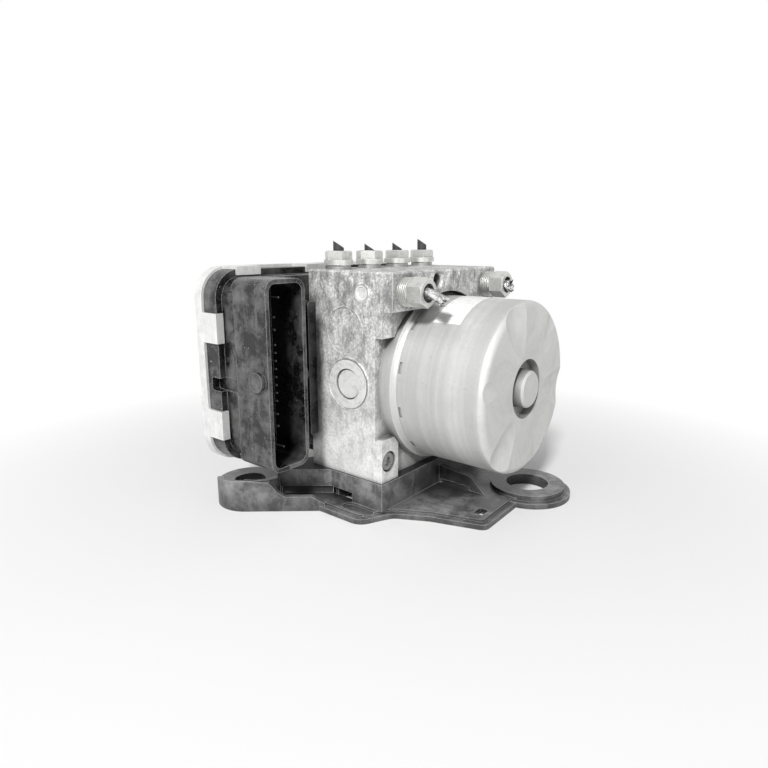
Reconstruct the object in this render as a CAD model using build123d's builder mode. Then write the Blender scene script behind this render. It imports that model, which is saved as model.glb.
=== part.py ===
import os
from math import cos, radians, sin, tan
from build123d import *

os.makedirs("parts", exist_ok=True)

# Anti-lock brake module: an aluminium valve block with a pump motor on one face, a control unit
# with solenoid coils and a plug socket on the other, pipe fittings, and a moulded bracket below.
# X runs along the motor's shaft, -Y is the side with the plug socket, +Z is up. The origin lies
# on the bracket's base plane, midway between its two mounting eyes.

# Valve block
block_x0 = -29.7  # face against the control unit
block_y0 = -22.2  # side next to the plug socket
block_z0 = 16.0  # underside, above the bracket's base plane
block_w = 83.0
block_h = 91.4
seat_d = 38.2  # thickness at the motor's seat
foot_d = 3.8  # how far the feet and the shoulder stand out from the seat
head_d = 5.6  # how far the head stands out from the shoulder
foot_w = 11.7
foot_h = 19.5
shoulder_h = 64.0  # height of the shoulder's lower edge above the underside
head_h = 75.4  # height of the head's lower edge above the underside
block_edge = 0.6  # broken edges
head_round = 3.0  # fillet under the head
foot_round = 2.0
motor_h = 42.2  # height of the motor's axis above the underside
pump_d = 22.9  # depth of the pump's axis from the unit's face
seat_x = block_x0 + seat_d
foot_x = seat_x + foot_d
head_x = foot_x + head_d
block_y1 = block_y0 + block_w
block_z1 = block_z0 + block_h
motor_y = block_y0 + block_w / 2
motor_z = block_z0 + motor_h
pump_x = block_x0 + pump_d

# Fits between pieces
slide_gap = 0.04  # running clearance, on the radius, of pistons, plungers and bearings
loose_gap = 0.3  # clearance of pieces that pass one another
skin = 0.05  # clearance of screwed pieces in their holes

# Motor
motor_r = 37.5
flange_lip = 1.5  # flange stands out this far from the can
flange_t = 8.0
flange_neck = 2.0  # cylinder below the flange's sloping edge starts this far from the can
flange_step = 0.6
can_len = 41.8
can_wall = 2.0
end_wall = 4.0
end_round = 3.0
hub_r = 8.0
hub_proud = 2.0
ring_r = 13.0  # outer radius of the ring pressed in round the hub
ring_deep = 4.0
ring_draft = 0.8  # taper of the ring's outer wall
hub_draft = 0.6  # and of the hub
hub_edge = 0.8
hub_floor = 1.5  # metal under the pressed ring
hub_inside = 0.5  # the hub's inside from the can's end
lobe_count = 3
lobe_in = 15.5  # large lobes pressed into the end start this far from the axis
lobe_fall = 6.0  # and deepen outwards at this angle
lobe_round = 22.0  # radius of the punch
lobe_turn = -22.0  # turn of the first large lobe from straight up
dent_in = 25.0  # small dents between them
dent_fall = 4.5
dent_round = 14.0
crimp_count = 12
crimp_w = 1.6
crimp_l = 5.0
label_t = 0.15
label_x = 9.8  # label's start, from the flange
label_len = 13.0
label_half = 41.0  # half angle of the label round the can
pocket_gap = 0.6  # clearance of the motor in the block's pocket
flange_r = motor_r + flange_lip
can_x = seat_x + flange_t
end_x = can_x + can_len

# Rotor and bearings
spigot_r = 14.0
front_bearing_r = 11.0
front_bearing_t = 6.0
front_bearing_out = 2.0  # front bearing's end from the block's seat
bearing_lip = 2.5  # shoulder that the front bearing stops against
bearing_wall = 2.0
end_bearing_r = 6.5
end_bearing_t = 5.0
shaft_r = 5.0
shaft_edge = 0.4  # chamfers on the shaft's ends
step_gap = 0.5  # steps of the shaft stay this clear of the bearings
pump_journal_r = 4.5
end_journal_r = 3.0
chamber_r = 13.0
chamber_back = 7.0  # the eccentric's chamber reaches this far behind the pump's axis
throw = 1.1  # eccentric's throw
eccentric_r = 7.0
eccentric_t = 9.0
race_r = 10.0
race_t = 8.0
race_room = 3.3  # flange's spigot ends this far from the ring
spigot_len = seat_d - pump_d - race_t / 2 - race_room
air_gap = 2.0  # between the core and the magnets
magnet_t = 8.5
core_r = motor_r - can_wall - magnet_t - air_gap
core_len = 16.0
core_back = 6.5  # core's end from the can's end wall
magnet_back = 3.0  # magnets' ends from the can's end wall, and past the core
slot_count = 10
slot_t = 3.0  # slots of the core
slot_l = 9.5
winding_t = 4.0  # how far the windings stand out of the core
winding_in = 4.0  # and their inner and outer edges from the shaft and the core's rim
winding_out = 2.0
winding_soft = 1.0
magnet_half = 62.0  # half angle of each magnet
commutator_r = 9.0
commutator_t = 8.0
bar_slot_w = 0.6  # slots between the commutator's bars
bar_slot_t = 0.8
brush_gap = 0.1
brush_w = 6.0
brush_t = 5.0
brush_len = 11.0
holder_t = 2.0
holder_gap = 0.5  # holder's clearance in the can
holder_room = 3.5  # and round the commutator
guide_wall = 1.2
guide_in = 4.0  # guides start this far out from the brushes' inner ends
front_bearing_x1 = seat_x + front_bearing_out
rear_bearing_x1 = end_x + hub_inside

# Pump and accumulators
plug_r = 11.1
plug_t = 5.0
plug_proud = 0.4
plug_recess_r = 7.0
plug_recess_t = 0.9
plug_groove_w = 0.7
plug_groove_t = 1.9
sleeve_r = 8.0
sleeve_back = 1.0  # sleeves stop this far short of the eccentric's chamber
pump_coil_r = 2.3  # pump springs: coil radius, wire and turns
pump_wire = 0.8
pump_turns = 3
piston_r = 3.25
piston_len = 17.0
piston_edge = 0.5
damper_r = 10.0
damper_t = 3.0
damper_deep = 10.0
damper_sunk = 0.35
damper_wall = 2.0
damper_x = 21.0  # damper bore from the unit's face
damper_gap = 2.5  # height of the metal left between the pump's plug and the damper bore
damper_h = motor_h + plug_r + damper_gap + damper_r
ball_r = 3.3
ball_deep = 3.0
ball_proud = 0.2
ball_rim = 0.7  # rim round the dimple in each ball seal
ball_dimple = 0.6
ball_x = 31.0
ball_h = 82.4
store_r = 8.0  # accumulator bore
store_deep = 24.0
store_half = 19.5  # accumulators' distance from the motor's axis
store_cover_t = 2.5
store_piston_t = 7.0
store_wall = 1.6
store_crown = 2.5  # thickness of the pistons' crowns
store_coil_r = 5.2
store_wire = 1.2
store_turns = 5

# Valves: an inlet and an outlet valve for each wheel
valve_pitch = 20.0
valve_rise = 20.0  # rows above and below the motor's axis
valve_r = 5.4
valve_deep = 10.0
collar_r = 6.4
collar_t = 1.2
dome_r = 3.6
dome_len = 13.2
dome_wall = 0.9
dome_edge = 1.0
armature_len = 8.0
needle_r = 0.85
needle_tip_r = 0.3
seat_r = 0.4
seat_t = 0.8  # metal under the valves' seats
needle_gap = 0.3  # clearance round the needles
cartridge_edge = 1.2
dome_top = 1.2  # thickness of the domes' closed ends
armature_gap = 0.5  # armatures' rest clearance to them
stroke = 0.3
coil_r = 7.5
coil_len = 13.0

# Ports and fittings
wheel_x = 9.5  # wheel ports, from the unit's face
wheel_pitch = 21.3
wheel_thread_r = 5.0
wheel_hex = 11.0
wheel_deep = 14.0
neck_h = 1.9
neck_more = 0.5
ring_h = 2.2
hex_h = 3.9
ring_out_r = 6.5
master_in = 8.3  # master cylinder ports, from the block's sides
master_h = 83.3
master_thread_r = 6.0
master_hex = 11.0
master_deep = 12.0
master_out = 4.6  # thread left showing
master_hex_h = 7.2
thread_relief = 0.4  # the thread's core that shows is this much slimmer
nut_mouth_r = 3.9  # wide mouth of the master nuts, round the pipe
nut_mouth_t = 2.6
pipe_r = 2.375
pipe_bore = 1.6
crush_start = 1.5  # torn pipes start to flatten this far inside their nuts
bleed_y = 32.5  # threaded hole in the head
bleed_h = 87.0
bleed_r = 2.9
bleed_deep = 12.0
bleed_edge = 0.9

# Control unit
unit_y0 = -42.0  # from the block's corner
unit_y1 = 85.0
unit_z0 = 8.5
unit_z1 = 92.0
unit_r = 12.0
unit_deep = 24.0
cover_t = 1.5
cover_rim = 4.5
rim_t = 1.2
flange_deep = 12.7  # flange's thin side, from the cover's face
ledge = 3.0  # flange stands out this far from the body
unit_wall = 2.2
unit_floor = 2.5
groove_in = 1.6  # seal's groove from the flange's edge
seal_w = 1.8
seal_t = 1.5
board_t = 1.6
tab_w = 12.5
tab_in = 2.4
tower_y0 = -40.7
tower_w = 20.8
tower_z0 = 10.6
tower_h = 78.6
tower_out = 18.0
tower_wall = 1.8
side_groove_w = 0.9
side_groove_t = 1.1
catch_x = 10.0  # recess for the plug's catch
catch_h = 44.3
catch_w = 14.0
catch_l = 5.6
catch_t = 3.6
catch_r = 1.0
tower_r = 5.0
socket_floor = 1.0
peg_x = 12.5
peg_z = 49.0
peg_r = 4.0
peg_h = 2.2
skirt_w = 5.0
skirt_r = 1.5
skirt_x = 4.0
skirt_z0 = 16.0
skirt_z1 = 77.5
screw_y = 5.1  # long screws through the block, from its sides and underside
screw_z = 9.0
screw_r = 2.5
screw_head_r = 4.3
screw_head_t = 3.4
screw_head_edge = 0.5
screw_head_gap = 0.5
screw_sunk = 0.6  # screws' heads sit this far below the feet
pin_w = 0.7

# Circuit board's components
chips = [((0.0, 0.0), (14.0, 14.0)), ((24.0, 0.0), (10.0, 10.0)), ((-22.0, 4.0), (8.0, 11.0))]
chip_t = 1.6
switch_rise = 25.0  # one switch for each valve, above and below the middle
switch_w = 6.0
switch_h = 5.0
switch_t = 2.2
capacitor_rise = 20.0
capacitor_r = 4.0
capacitor_t = 4.5

# Bracket
eye_x = 49.4  # mounting eyes' distances from the origin
eye_y = 44.9
plate_top = 3.5
plate_round = 7.0  # bends of the plate's front edge
corner_round = 4.0
web_t = 2.0
rim_w = 2.2
near_r = 15.0
near_hole = 7.3
near_h = 10.0
near_wall = 3.0
near_wall_top = 14.8
near_wall_low = 7.0  # height of the wall where it runs on along the plate
near_wall_turn = 11.0  # the wall starts to fall this far from the eye
near_wall_end = 36.0
near_wall_slope = 0.23  # fall of its top towards the hole
tangent_turn = -49.5  # where the front wall leaves the near eye
far_r = 17.6
far_hole = 10.0
far_h = 5.3
far_foot_r = 20.4
far_foot_h = 2.6
wall_t = 2.5
ledge_w = 2.8  # low ledge round the plate's edge
ledge_h = 2.4
cell_cols = 3  # cells between the saddle's ribs
cell_rows = 5
saddle_x0 = -31.0  # saddle's face under the control unit
saddle_x = 13.5  # saddle's face under the motor
saddle_y = -23.5  # saddle's face below the block's side
saddle_back = 61.5
slot_z1 = 8.0  # top of the slot under the saddle's front rail
slot_x = -4.0  # and its end on the block's side
slot_turn = 2.0  # both stretches overlap by this much at the corner
web_y = 21.5  # web that runs out under the motor
web_x = 31.0
web_top = 12.5
web_fall = 2.0  # web's top falls this much on its way out
web_foot = 8.0  # and the web ends in a slope this long
web_slot_l = 16.0
web_slot_h = 1.8
dish_r = 8.0
dish_w = 6.4
dish_deep = 1.0
dish_spot = (2.6, -27.0)
window_spot = (46.9, 4.9)
window_w = 4.5
window_l = 6.0
bolt_r = 2.5
bolt_head_r = 4.6
bolt_head_t = 4.0
bolt_room = 1.0  # room round the heads in the bosses
bolt_in = 9.0
bolt_sunk = 9.0  # bolts' heads rest this high in their bosses
bolt_x = 34.1  # bolts under the block, from the unit's face
bolt_half = 30.5
bolt_back_x = 9.7
boss_r = 7.0

contact_in = 2.0  # contact rods' distance from the motor's middle plane
contact_h = 16.0  # and above its axis
contact_r = 1.0
contact_bore_r = 1.5
lug_r = 4.6
lug_t = 9.5
screw_grip = 8.0
drive_r = 2.4  # sockets of the screws' and bolts' heads
drive_t = 1.8
thread_len = 10.0
flare_r = 3.6
flare_t = 1.6
master_turns = [34.5, 27.0]  # where a corner of each master nut's hexagon points
corner_in = 0.15  # hexagons' corners are turned off from this far inside the flats
field_in = 9.0
field_t = 0.8
pin_out = 7.0  # pins' tips, from the block's face
blade_more = 3.0  # the two blades at the ends of the row are longer
pin_rows = [-27.0, -34.0]
pin_pitch = 3.43
pin_zs = [17.7, 26.3, 31.6] + [37.5 + pin_pitch * i for i in range(8)] + [67.8, 73.0, 81.3]
side_tabs = [block_z0 + 26.5, block_z0 + 68.2]  # heights of the cover's tabs
top_tabs = [block_y0 + y for y in (-25.0, 15.0, 55.0)]
cut_slopes = [0.65, 1.3]  # falls of the two facets of the cuts across the wheel pipes
cut_way = Vector(cos(radians(38.8)), sin(radians(38.8)), 0)  # and the way they fall

wheel_ys = [block_y0 + (block_w - 3 * wheel_pitch) / 2 + i * wheel_pitch for i in range(4)]
master_ys = [block_y0 + master_in, block_y1 - master_in]
valve_ys = [motor_y + (i - 1.5) * valve_pitch for i in range(4)]
inlet_z = motor_z + valve_rise
outlet_z = motor_z - valve_rise
side_ys = [(block_y0, 1), (block_y1, -1)]
contact_spots = [(motor_y + side * contact_in, motor_z + contact_h) for side in (1, -1)]
screw_spots = [(y, block_z0 + screw_z) for y in (block_y0 + screw_y, block_y1 - screw_y)]
pin_spots = [(block_y0 + y, block_z0 + z) for y in pin_rows for z in pin_zs]
blade_spots = [(block_y0 + y, block_z0 + z) for y in pin_rows for z in (pin_zs[0], pin_zs[-1])]
unit_left = block_y0 + unit_y0
unit_right = block_y0 + unit_y1
unit_bottom = block_z0 + unit_z0
unit_top = block_z0 + unit_z1
master_foot = thread_len + flare_t
bolt_spots = [
    (block_x0 + bolt_x, motor_y - bolt_half),
    (block_x0 + bolt_x, motor_y + bolt_half),
    (block_x0 + bolt_back_x, motor_y),
]


def save(builder, name):
    """Names a finished piece and writes its file."""
    builder.part.label = name
    export_step(builder.part, f"parts/{name}.step")


def side_plane(y, inward):
    """Plane on one side of the block, facing out of it."""
    return Plane(origin=(0, y, 0), x_dir=(inward, 0, 0), z_dir=(0, -inward, 0))


# The block: side profile with seat, shoulder and head, then feet, motor pocket, bores and ports.
with BuildPart() as valve_block:
    with BuildSketch(Plane.XZ.offset(-block_y0)):
        with BuildLine():
            Polyline(
                (block_x0, block_z0),
                (seat_x, block_z0),
                (seat_x, block_z0 + shoulder_h),
                (foot_x, block_z0 + shoulder_h),
                (foot_x, block_z0 + head_h),
                (head_x, block_z0 + head_h),
                (head_x, block_z1),
                (block_x0, block_z1),
                close=True,
            )
        make_face()
    extrude(amount=-block_w)
    under_head = valve_block.edges().filter_by(Axis.Y).filter_by_position(
        Axis.Z, block_z0 + head_h - 0.1, block_z0 + head_h + 0.1
    )
    fillet(under_head.sort_by(Axis.X)[0], radius=head_round)
    with BuildSketch(Plane.YZ.offset(seat_x)):
        for y in (block_y0 + foot_w / 2, block_y1 - foot_w / 2):
            with Locations((y, block_z0 + foot_h / 2)):
                Rectangle(foot_w, foot_h)
    extrude(amount=foot_d)
    foot_tops = valve_block.edges().filter_by(Axis.X).filter_by_position(
        Axis.Z, block_z0 + foot_h - 0.1, block_z0 + foot_h + 0.1
    )
    fillet(foot_tops, radius=foot_round)
    outer = valve_block.edges().filter_by(Axis.X).filter_by_position(
        Axis.Z, block_z1 - 0.1, block_z1 + 0.1
    ) + valve_block.edges().filter_by(Axis.Y).filter_by_position(Axis.Z, block_z1 - 0.1, block_z1 + 0.1)
    chamfer(outer, length=block_edge)
    # pocket that the motor's flange sits in, cut through shoulder and head
    with BuildSketch(Plane.YZ.offset(seat_x)):
        with Locations((motor_y, motor_z)):
            Circle(flange_r + pocket_gap)
    extrude(amount=foot_d + head_d, mode=Mode.SUBTRACT)
    # bore for the spigot, the eccentric's chamber and the shaft's tail bearing
    for radius, deep in (
        (spigot_r, spigot_len),
        (chamber_r, seat_x - pump_x + chamber_back),
        (end_bearing_r, seat_x - pump_x + chamber_back + end_bearing_t),
    ):
        with BuildSketch(Plane.YZ.offset(seat_x)):
            with Locations((motor_y, motor_z)):
                Circle(radius)
        extrude(amount=-deep, mode=Mode.SUBTRACT)
    # pump bores, damper bores and ball seats on both sides
    for y, inward in side_ys:
        for x, z, radius, deep in (
            (pump_x, motor_z, plug_r, plug_t),
            (pump_x, motor_z, sleeve_r, block_w / 2 - chamber_r + 1.0),
            (block_x0 + damper_x, block_z0 + damper_h, damper_r, damper_deep),
            (block_x0 + ball_x, block_z0 + ball_h, ball_r, ball_deep),
        ):
            with BuildSketch(side_plane(y, inward)):
                with Locations((inward * x, z)):
                    Circle(radius)
            extrude(amount=-deep, mode=Mode.SUBTRACT)
    # accumulator bores and bolt holes from below
    with BuildSketch(Plane.XY.offset(block_z0)):
        with Locations((pump_x, motor_y - store_half), (pump_x, motor_y + store_half)):
            Circle(store_r)
    extrude(amount=store_deep, mode=Mode.SUBTRACT)
    with BuildSketch(Plane.XY.offset(block_z0)):
        with Locations(*bolt_spots):
            Circle(bolt_r)
    extrude(amount=bolt_in + 1.0, mode=Mode.SUBTRACT)
    # wheel ports on top
    with BuildSketch(Plane.XY.offset(block_z1)):
        with Locations(*[(block_x0 + wheel_x, y) for y in wheel_ys]):
            Circle(wheel_thread_r)
    extrude(amount=-wheel_deep, mode=Mode.SUBTRACT)
    # master cylinder ports and the threaded hole in the head
    with BuildSketch(Plane.YZ.offset(head_x)):
        with Locations(*[(y, block_z0 + master_h) for y in master_ys]):
            Circle(master_thread_r)
    extrude(amount=-master_deep, mode=Mode.SUBTRACT)
    with Locations(Plane.YZ.offset(head_x)):
        with Locations((block_y0 + bleed_y, block_z0 + bleed_h)):
            CounterSinkHole(bleed_r, bleed_r + bleed_edge, bleed_deep, 90)
    # valve bores in the unit's face
    with BuildSketch(Plane.YZ.offset(block_x0)):
        with Locations(*[(y, z) for y in valve_ys for z in (inlet_z, outlet_z)]):
            Circle(valve_r)
    extrude(amount=valve_deep, mode=Mode.SUBTRACT)
    # long screw holes with their heads sunk in the feet, and the motor's two contact bores
    with BuildSketch(Plane.YZ.offset(foot_x)):
        with Locations(*screw_spots):
            Circle(screw_r + skin)
    extrude(amount=-(seat_d + foot_d), mode=Mode.SUBTRACT)
    with BuildSketch(Plane.YZ.offset(foot_x)):
        with Locations(*screw_spots):
            Circle(screw_head_r + screw_head_gap)
    extrude(amount=-screw_head_t, mode=Mode.SUBTRACT)
    with BuildSketch(Plane.YZ.offset(seat_x)):
        with Locations(*contact_spots):
            Circle(contact_bore_r)
    extrude(amount=-seat_d, mode=Mode.SUBTRACT)
save(valve_block, "valve_block")

shaft_plane = Plane(origin=(0, motor_y, motor_z), x_dir=(1, 0, 0), z_dir=(0, -1, 0))
shaft_axis = Axis((0, motor_y, motor_z), (1, 0, 0))


def end_plane(turn):
    """Plane on the motor's end; its x axis points out from the hub, turned from straight up."""
    out = (0, sin(radians(turn)), cos(radians(turn)))
    return Plane(origin=(end_x, motor_y, motor_z), x_dir=out, z_dir=(1, 0, 0))


def punch(turn, start, fall, radius):
    """Round punch laid on the motor's end: its mark starts near the hub and deepens to the rim."""
    end = end_plane(turn)
    way = end.x_dir * cos(radians(fall)) - end.z_dir * sin(radians(fall))
    up = end.x_dir * sin(radians(fall)) + end.z_dir * cos(radians(fall))
    middle = end.origin + end.x_dir * start + up * radius
    with BuildSketch(Plane(origin=middle, x_dir=up, z_dir=way)) as section:
        Circle(radius)
    extrude(section.sketch, amount=motor_r, mode=Mode.SUBTRACT)


# Flange: seats in the block's pocket, its spigot centres in the shaft's bore.
with BuildPart() as motor_flange:
    with BuildSketch(shaft_plane):
        with BuildLine():
            Polyline(
                (seat_x - spigot_len, front_bearing_r - bearing_lip),
                (seat_x - spigot_len, spigot_r),
                (seat_x, spigot_r),
                (seat_x, flange_r),
                (seat_x + flange_t - flange_neck, flange_r),
                (seat_x + flange_t - 2 * flange_step, motor_r + flange_step),
                (seat_x + flange_t, motor_r),
                (seat_x + flange_t, front_bearing_r + bearing_wall + 1.0),
                (front_bearing_x1, front_bearing_r + bearing_wall),
                (front_bearing_x1, front_bearing_r),
                (front_bearing_x1 - front_bearing_t, front_bearing_r),
                (front_bearing_x1 - front_bearing_t, front_bearing_r - bearing_lip),
                close=True,
            )
        make_face()
    revolve(axis=shaft_axis)
    with BuildSketch(Plane.YZ.offset(seat_x)):
        with Locations(*contact_spots):
            Circle(contact_bore_r)
    extrude(amount=flange_t, mode=Mode.SUBTRACT)
save(motor_flange, "motor_flange")

# Can: a deep-drawn cup with a hub pressed out of a ring in its end, and lobes pressed round it.
with BuildPart() as motor_can:
    with BuildSketch(shaft_plane):
        with BuildLine():
            l1 = Line((can_x, motor_r - can_wall), (can_x, motor_r))
            l2 = Line(l1 @ 1, (end_x - end_round, motor_r))
            a1 = TangentArc(l2 @ 1, (end_x, motor_r - end_round), tangent=(1, 0))
            Polyline(
                a1 @ 1,
                (end_x, ring_r),
                (end_x - ring_deep, ring_r - ring_draft),
                (end_x - ring_deep, hub_r + hub_draft),
                (end_x + hub_proud - hub_edge, hub_r),
                (end_x + hub_proud, hub_r - hub_edge),
                (end_x + hub_proud, 0),
                (rear_bearing_x1, 0),
                (rear_bearing_x1, end_bearing_r),
                (end_x - ring_deep - hub_floor, end_bearing_r),
                (end_x - ring_deep - hub_floor, ring_r + 0.5),
                (end_x - end_wall, ring_r + 2.0),
                (end_x - end_wall, motor_r - 2 * can_wall),
                (end_x - end_wall - can_wall, motor_r - can_wall),
                l1 @ 0,
            )
        make_face()
    revolve(axis=shaft_axis)
    for i in range(lobe_count):
        step = 360 / lobe_count
        punch(lobe_turn + step * i, lobe_in, lobe_fall, lobe_round)
        punch(lobe_turn + step * (i + 0.5), dent_in, dent_fall, dent_round)
    # marks of the tool that crimps the can on the flange
    for i in range(crimp_count):
        out = end_plane(360 / crimp_count * (i + 0.5)).x_dir
        mark = Plane(
            origin=Vector(can_x + crimp_w, motor_y, motor_z) + out * motor_r, x_dir=(1, 0, 0), z_dir=out
        )
        with Locations(mark):
            Box(crimp_w, crimp_l, crimp_w, mode=Mode.SUBTRACT)
save(motor_can, "motor_can")

# Label wrapped over the can, left blank.
with BuildPart() as motor_label:
    with BuildSketch(shaft_plane.rotated((-label_half, 0, 0))):
        with Locations((can_x + label_x + label_len / 2, motor_r + label_t / 2)):
            Rectangle(label_len, label_t)
    revolve(axis=shaft_axis, revolution_arc=2 * label_half)
save(motor_label, "motor_label")

# Two magnets glued in the can.
with BuildPart() as motor_magnets:
    magnet_out = motor_r - can_wall
    magnet_in = magnet_out - magnet_t
    for turn in (90, 270):
        with BuildSketch(end_plane(turn).offset(-end_wall - magnet_back)):
            with BuildLine():
                across = cos(radians(magnet_half))
                along = sin(radians(magnet_half))
                outside = ThreePointArc(
                    (magnet_out * across, -magnet_out * along),
                    (magnet_out, 0),
                    (magnet_out * across, magnet_out * along),
                )
                inside = ThreePointArc(
                    (magnet_in * across, magnet_in * along),
                    (magnet_in, 0),
                    (magnet_in * across, -magnet_in * along),
                )
                Line(outside @ 1, inside @ 0)
                Line(inside @ 1, outside @ 0)
            make_face()
        extrude(amount=-(core_len + magnet_back))
save(motor_magnets, "motor_magnets")

# Shaft with its journals, from the tail bearing in the block to the bearing in the can's hub.
chamber_x = pump_x - chamber_back
core_x1 = end_x - end_wall - core_back
core_x0 = core_x1 - core_len
tail_x = chamber_x - end_bearing_t + step_gap
nose_x = rear_bearing_x1 - loose_gap
with BuildPart() as rotor_shaft:
    with BuildSketch(shaft_plane):
        with BuildLine():
            Polyline(
                (tail_x, 0),
                (tail_x, end_journal_r - shaft_edge),
                (tail_x + shaft_edge, end_journal_r),
                (chamber_x + step_gap, end_journal_r),
                (chamber_x + step_gap, pump_journal_r),
                (seat_x - spigot_len - step_gap, pump_journal_r),
                (seat_x - spigot_len - step_gap, shaft_r),
                (core_x1 + winding_t, shaft_r),
                (core_x1 + winding_t, end_journal_r),
                (nose_x - shaft_edge, end_journal_r),
                (nose_x, end_journal_r - shaft_edge),
                (nose_x, 0),
                close=True,
            )
        make_face()
    revolve(axis=shaft_axis)
save(rotor_shaft, "rotor_shaft")


def disc(x, length, radius, bore, y=motor_y, z=motor_z):
    """Round piece with a hole, along X from the given x, joined to the part being built."""
    with BuildSketch(Plane.YZ.offset(x)) as ring:
        with Locations((y, z)):
            Circle(radius)
            Circle(bore, mode=Mode.SUBTRACT)
    extrude(ring.sketch, amount=length)


# Slotted core of stacked sheets, its windings' ends, and the commutator.
with BuildPart() as rotor_core:
    disc(core_x0, core_len, core_r, shaft_r)
    with BuildSketch(Plane.YZ.offset(core_x0)):
        with Locations((motor_y, motor_z)):
            with PolarLocations(core_r - slot_l / 2 + 0.25, slot_count):
                Rectangle(slot_l, slot_t)
    extrude(amount=core_len, mode=Mode.SUBTRACT)
save(rotor_core, "rotor_core")

with BuildPart() as rotor_windings:
    for x in (core_x0 - winding_t, core_x1):
        with BuildSketch(shaft_plane):
            with BuildLine():
                Polyline(
                    (x, shaft_r + winding_in + winding_soft),
                    (x + winding_soft, shaft_r + winding_in),
                    (x + winding_t - winding_soft, shaft_r + winding_in),
                    (x + winding_t, shaft_r + winding_in + winding_soft),
                    (x + winding_t, core_r - 2 * winding_out),
                    (x + winding_t - 1.5 * winding_soft, core_r - winding_out),
                    (x + 1.5 * winding_soft, core_r - winding_out),
                    (x, core_r - 2 * winding_out),
                    close=True,
                )
            make_face()
        revolve(axis=shaft_axis)
save(rotor_windings, "rotor_windings")

commutator_x = core_x0 - winding_t - step_gap - commutator_t
with BuildPart() as commutator:
    disc(commutator_x, commutator_t, commutator_r, shaft_r)
    with BuildSketch(Plane.YZ.offset(commutator_x)):
        with Locations((motor_y, motor_z)):
            with PolarLocations(commutator_r, slot_count):
                Rectangle(2 * bar_slot_t, bar_slot_w)
    extrude(amount=commutator_t, mode=Mode.SUBTRACT)
save(commutator, "commutator")

# Eccentric on the shaft and the ring that rolls round it.
with BuildPart() as eccentric:
    with BuildSketch(Plane.YZ.offset(pump_x - eccentric_t / 2)):
        with Locations((motor_y, motor_z - throw)):
            Circle(eccentric_r)
        with Locations((motor_y, motor_z)):
            Circle(pump_journal_r, mode=Mode.SUBTRACT)
    extrude(amount=eccentric_t)
save(eccentric, "eccentric")

with BuildPart() as eccentric_ring:
    disc(pump_x - race_t / 2, race_t, race_r, eccentric_r + slide_gap, z=motor_z - throw)
save(eccentric_ring, "eccentric_ring")

# Bearings of the shaft: in the flange, in the can's hub and at the bottom of the block's bore.
with BuildPart() as front_bearing:
    disc(front_bearing_x1 - front_bearing_t, front_bearing_t, front_bearing_r, shaft_r + slide_gap)
save(front_bearing, "front_bearing")

with BuildPart() as rear_bearing:
    disc(rear_bearing_x1 - end_bearing_t, end_bearing_t, end_bearing_r, end_journal_r + slide_gap)
save(rear_bearing, "rear_bearing")

with BuildPart() as tail_bearing:
    disc(chamber_x - end_bearing_t, end_bearing_t, end_bearing_r, end_journal_r + slide_gap)
save(tail_bearing, "tail_bearing")

# Brush holder on the flange with two guides, and the carbon brushes in them.
brush_x = commutator_x + commutator_t / 2
brush_y0 = commutator_r + brush_gap
guide_w = brush_w + 2 * guide_wall
with BuildPart() as brush_holder:
    disc(can_x, holder_t, motor_r - can_wall - holder_gap, commutator_r + holder_room)
    for side in (1, -1):
        with BuildSketch(Plane.YZ.offset(can_x + holder_t)):
            with Locations((motor_y + side * (brush_y0 + guide_in + brush_len / 2), motor_z)):
                Rectangle(brush_len, guide_w)
        extrude(amount=brush_x + brush_t / 2 + guide_wall - can_x - holder_t)
        with BuildSketch(Plane.YZ.offset(brush_x - brush_t / 2)):
            with Locations((motor_y + side * (brush_y0 + brush_len / 2), motor_z)):
                Rectangle(brush_len, brush_w)
        extrude(amount=brush_t, mode=Mode.SUBTRACT)
save(brush_holder, "brush_holder")

with BuildPart() as brushes:
    for side in (1, -1):
        with BuildSketch(Plane.YZ.offset(brush_x - brush_t / 2)):
            with Locations((motor_y + side * (brush_y0 + brush_len / 2), motor_z)):
                Rectangle(brush_len, brush_w)
        extrude(amount=brush_t)
save(brushes, "brushes")

# Contact rods that carry the motor's current through the block to the circuit board.
board_x1 = block_x0 - unit_floor - coil_len
with BuildPart() as motor_contacts:
    with BuildSketch(Plane.YZ.offset(board_x1)):
        with Locations(*contact_spots):
            Circle(contact_r)
    extrude(amount=can_x - board_x1)
save(motor_contacts, "motor_contacts")

# Pump: staked plugs, sleeves and pistons, one set on each side, with the pistons at the outer
# end of their stroke.
with BuildPart() as pump_plugs:
    for y, inward in side_ys:
        face = side_plane(y - inward * plug_proud, inward)
        with BuildSketch(side_plane(y + inward * plug_t, inward)):
            with Locations((inward * pump_x, motor_z)):
                Circle(plug_r)
        extrude(amount=plug_t + plug_proud, taper=2)
        with BuildSketch(face):
            with Locations((inward * pump_x, motor_z)):
                Circle(plug_recess_r)
        extrude(amount=-plug_recess_t, mode=Mode.SUBTRACT)
        with BuildSketch(face):
            with Locations((inward * pump_x, motor_z)):
                Circle(plug_recess_r)
                Circle(plug_recess_r - plug_groove_w, mode=Mode.SUBTRACT)
        extrude(amount=-plug_groove_t, mode=Mode.SUBTRACT)
save(pump_plugs, "pump_plugs")

sleeve_len = block_w / 2 - plug_t - chamber_r - sleeve_back
with BuildPart() as pump_sleeves:
    for y, inward in side_ys:
        with BuildSketch(side_plane(y + inward * (plug_t + sleeve_len), inward)):
            with Locations((inward * pump_x, motor_z)):
                Circle(sleeve_r)
                Circle(piston_r + slide_gap, mode=Mode.SUBTRACT)
        extrude(amount=sleeve_len)
save(pump_sleeves, "pump_sleeves")

piston_end = race_r + throw + skin  # pistons' inner ends clear the ring at every turn
spring_room = block_w / 2 - plug_t - piston_end - piston_len


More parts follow.
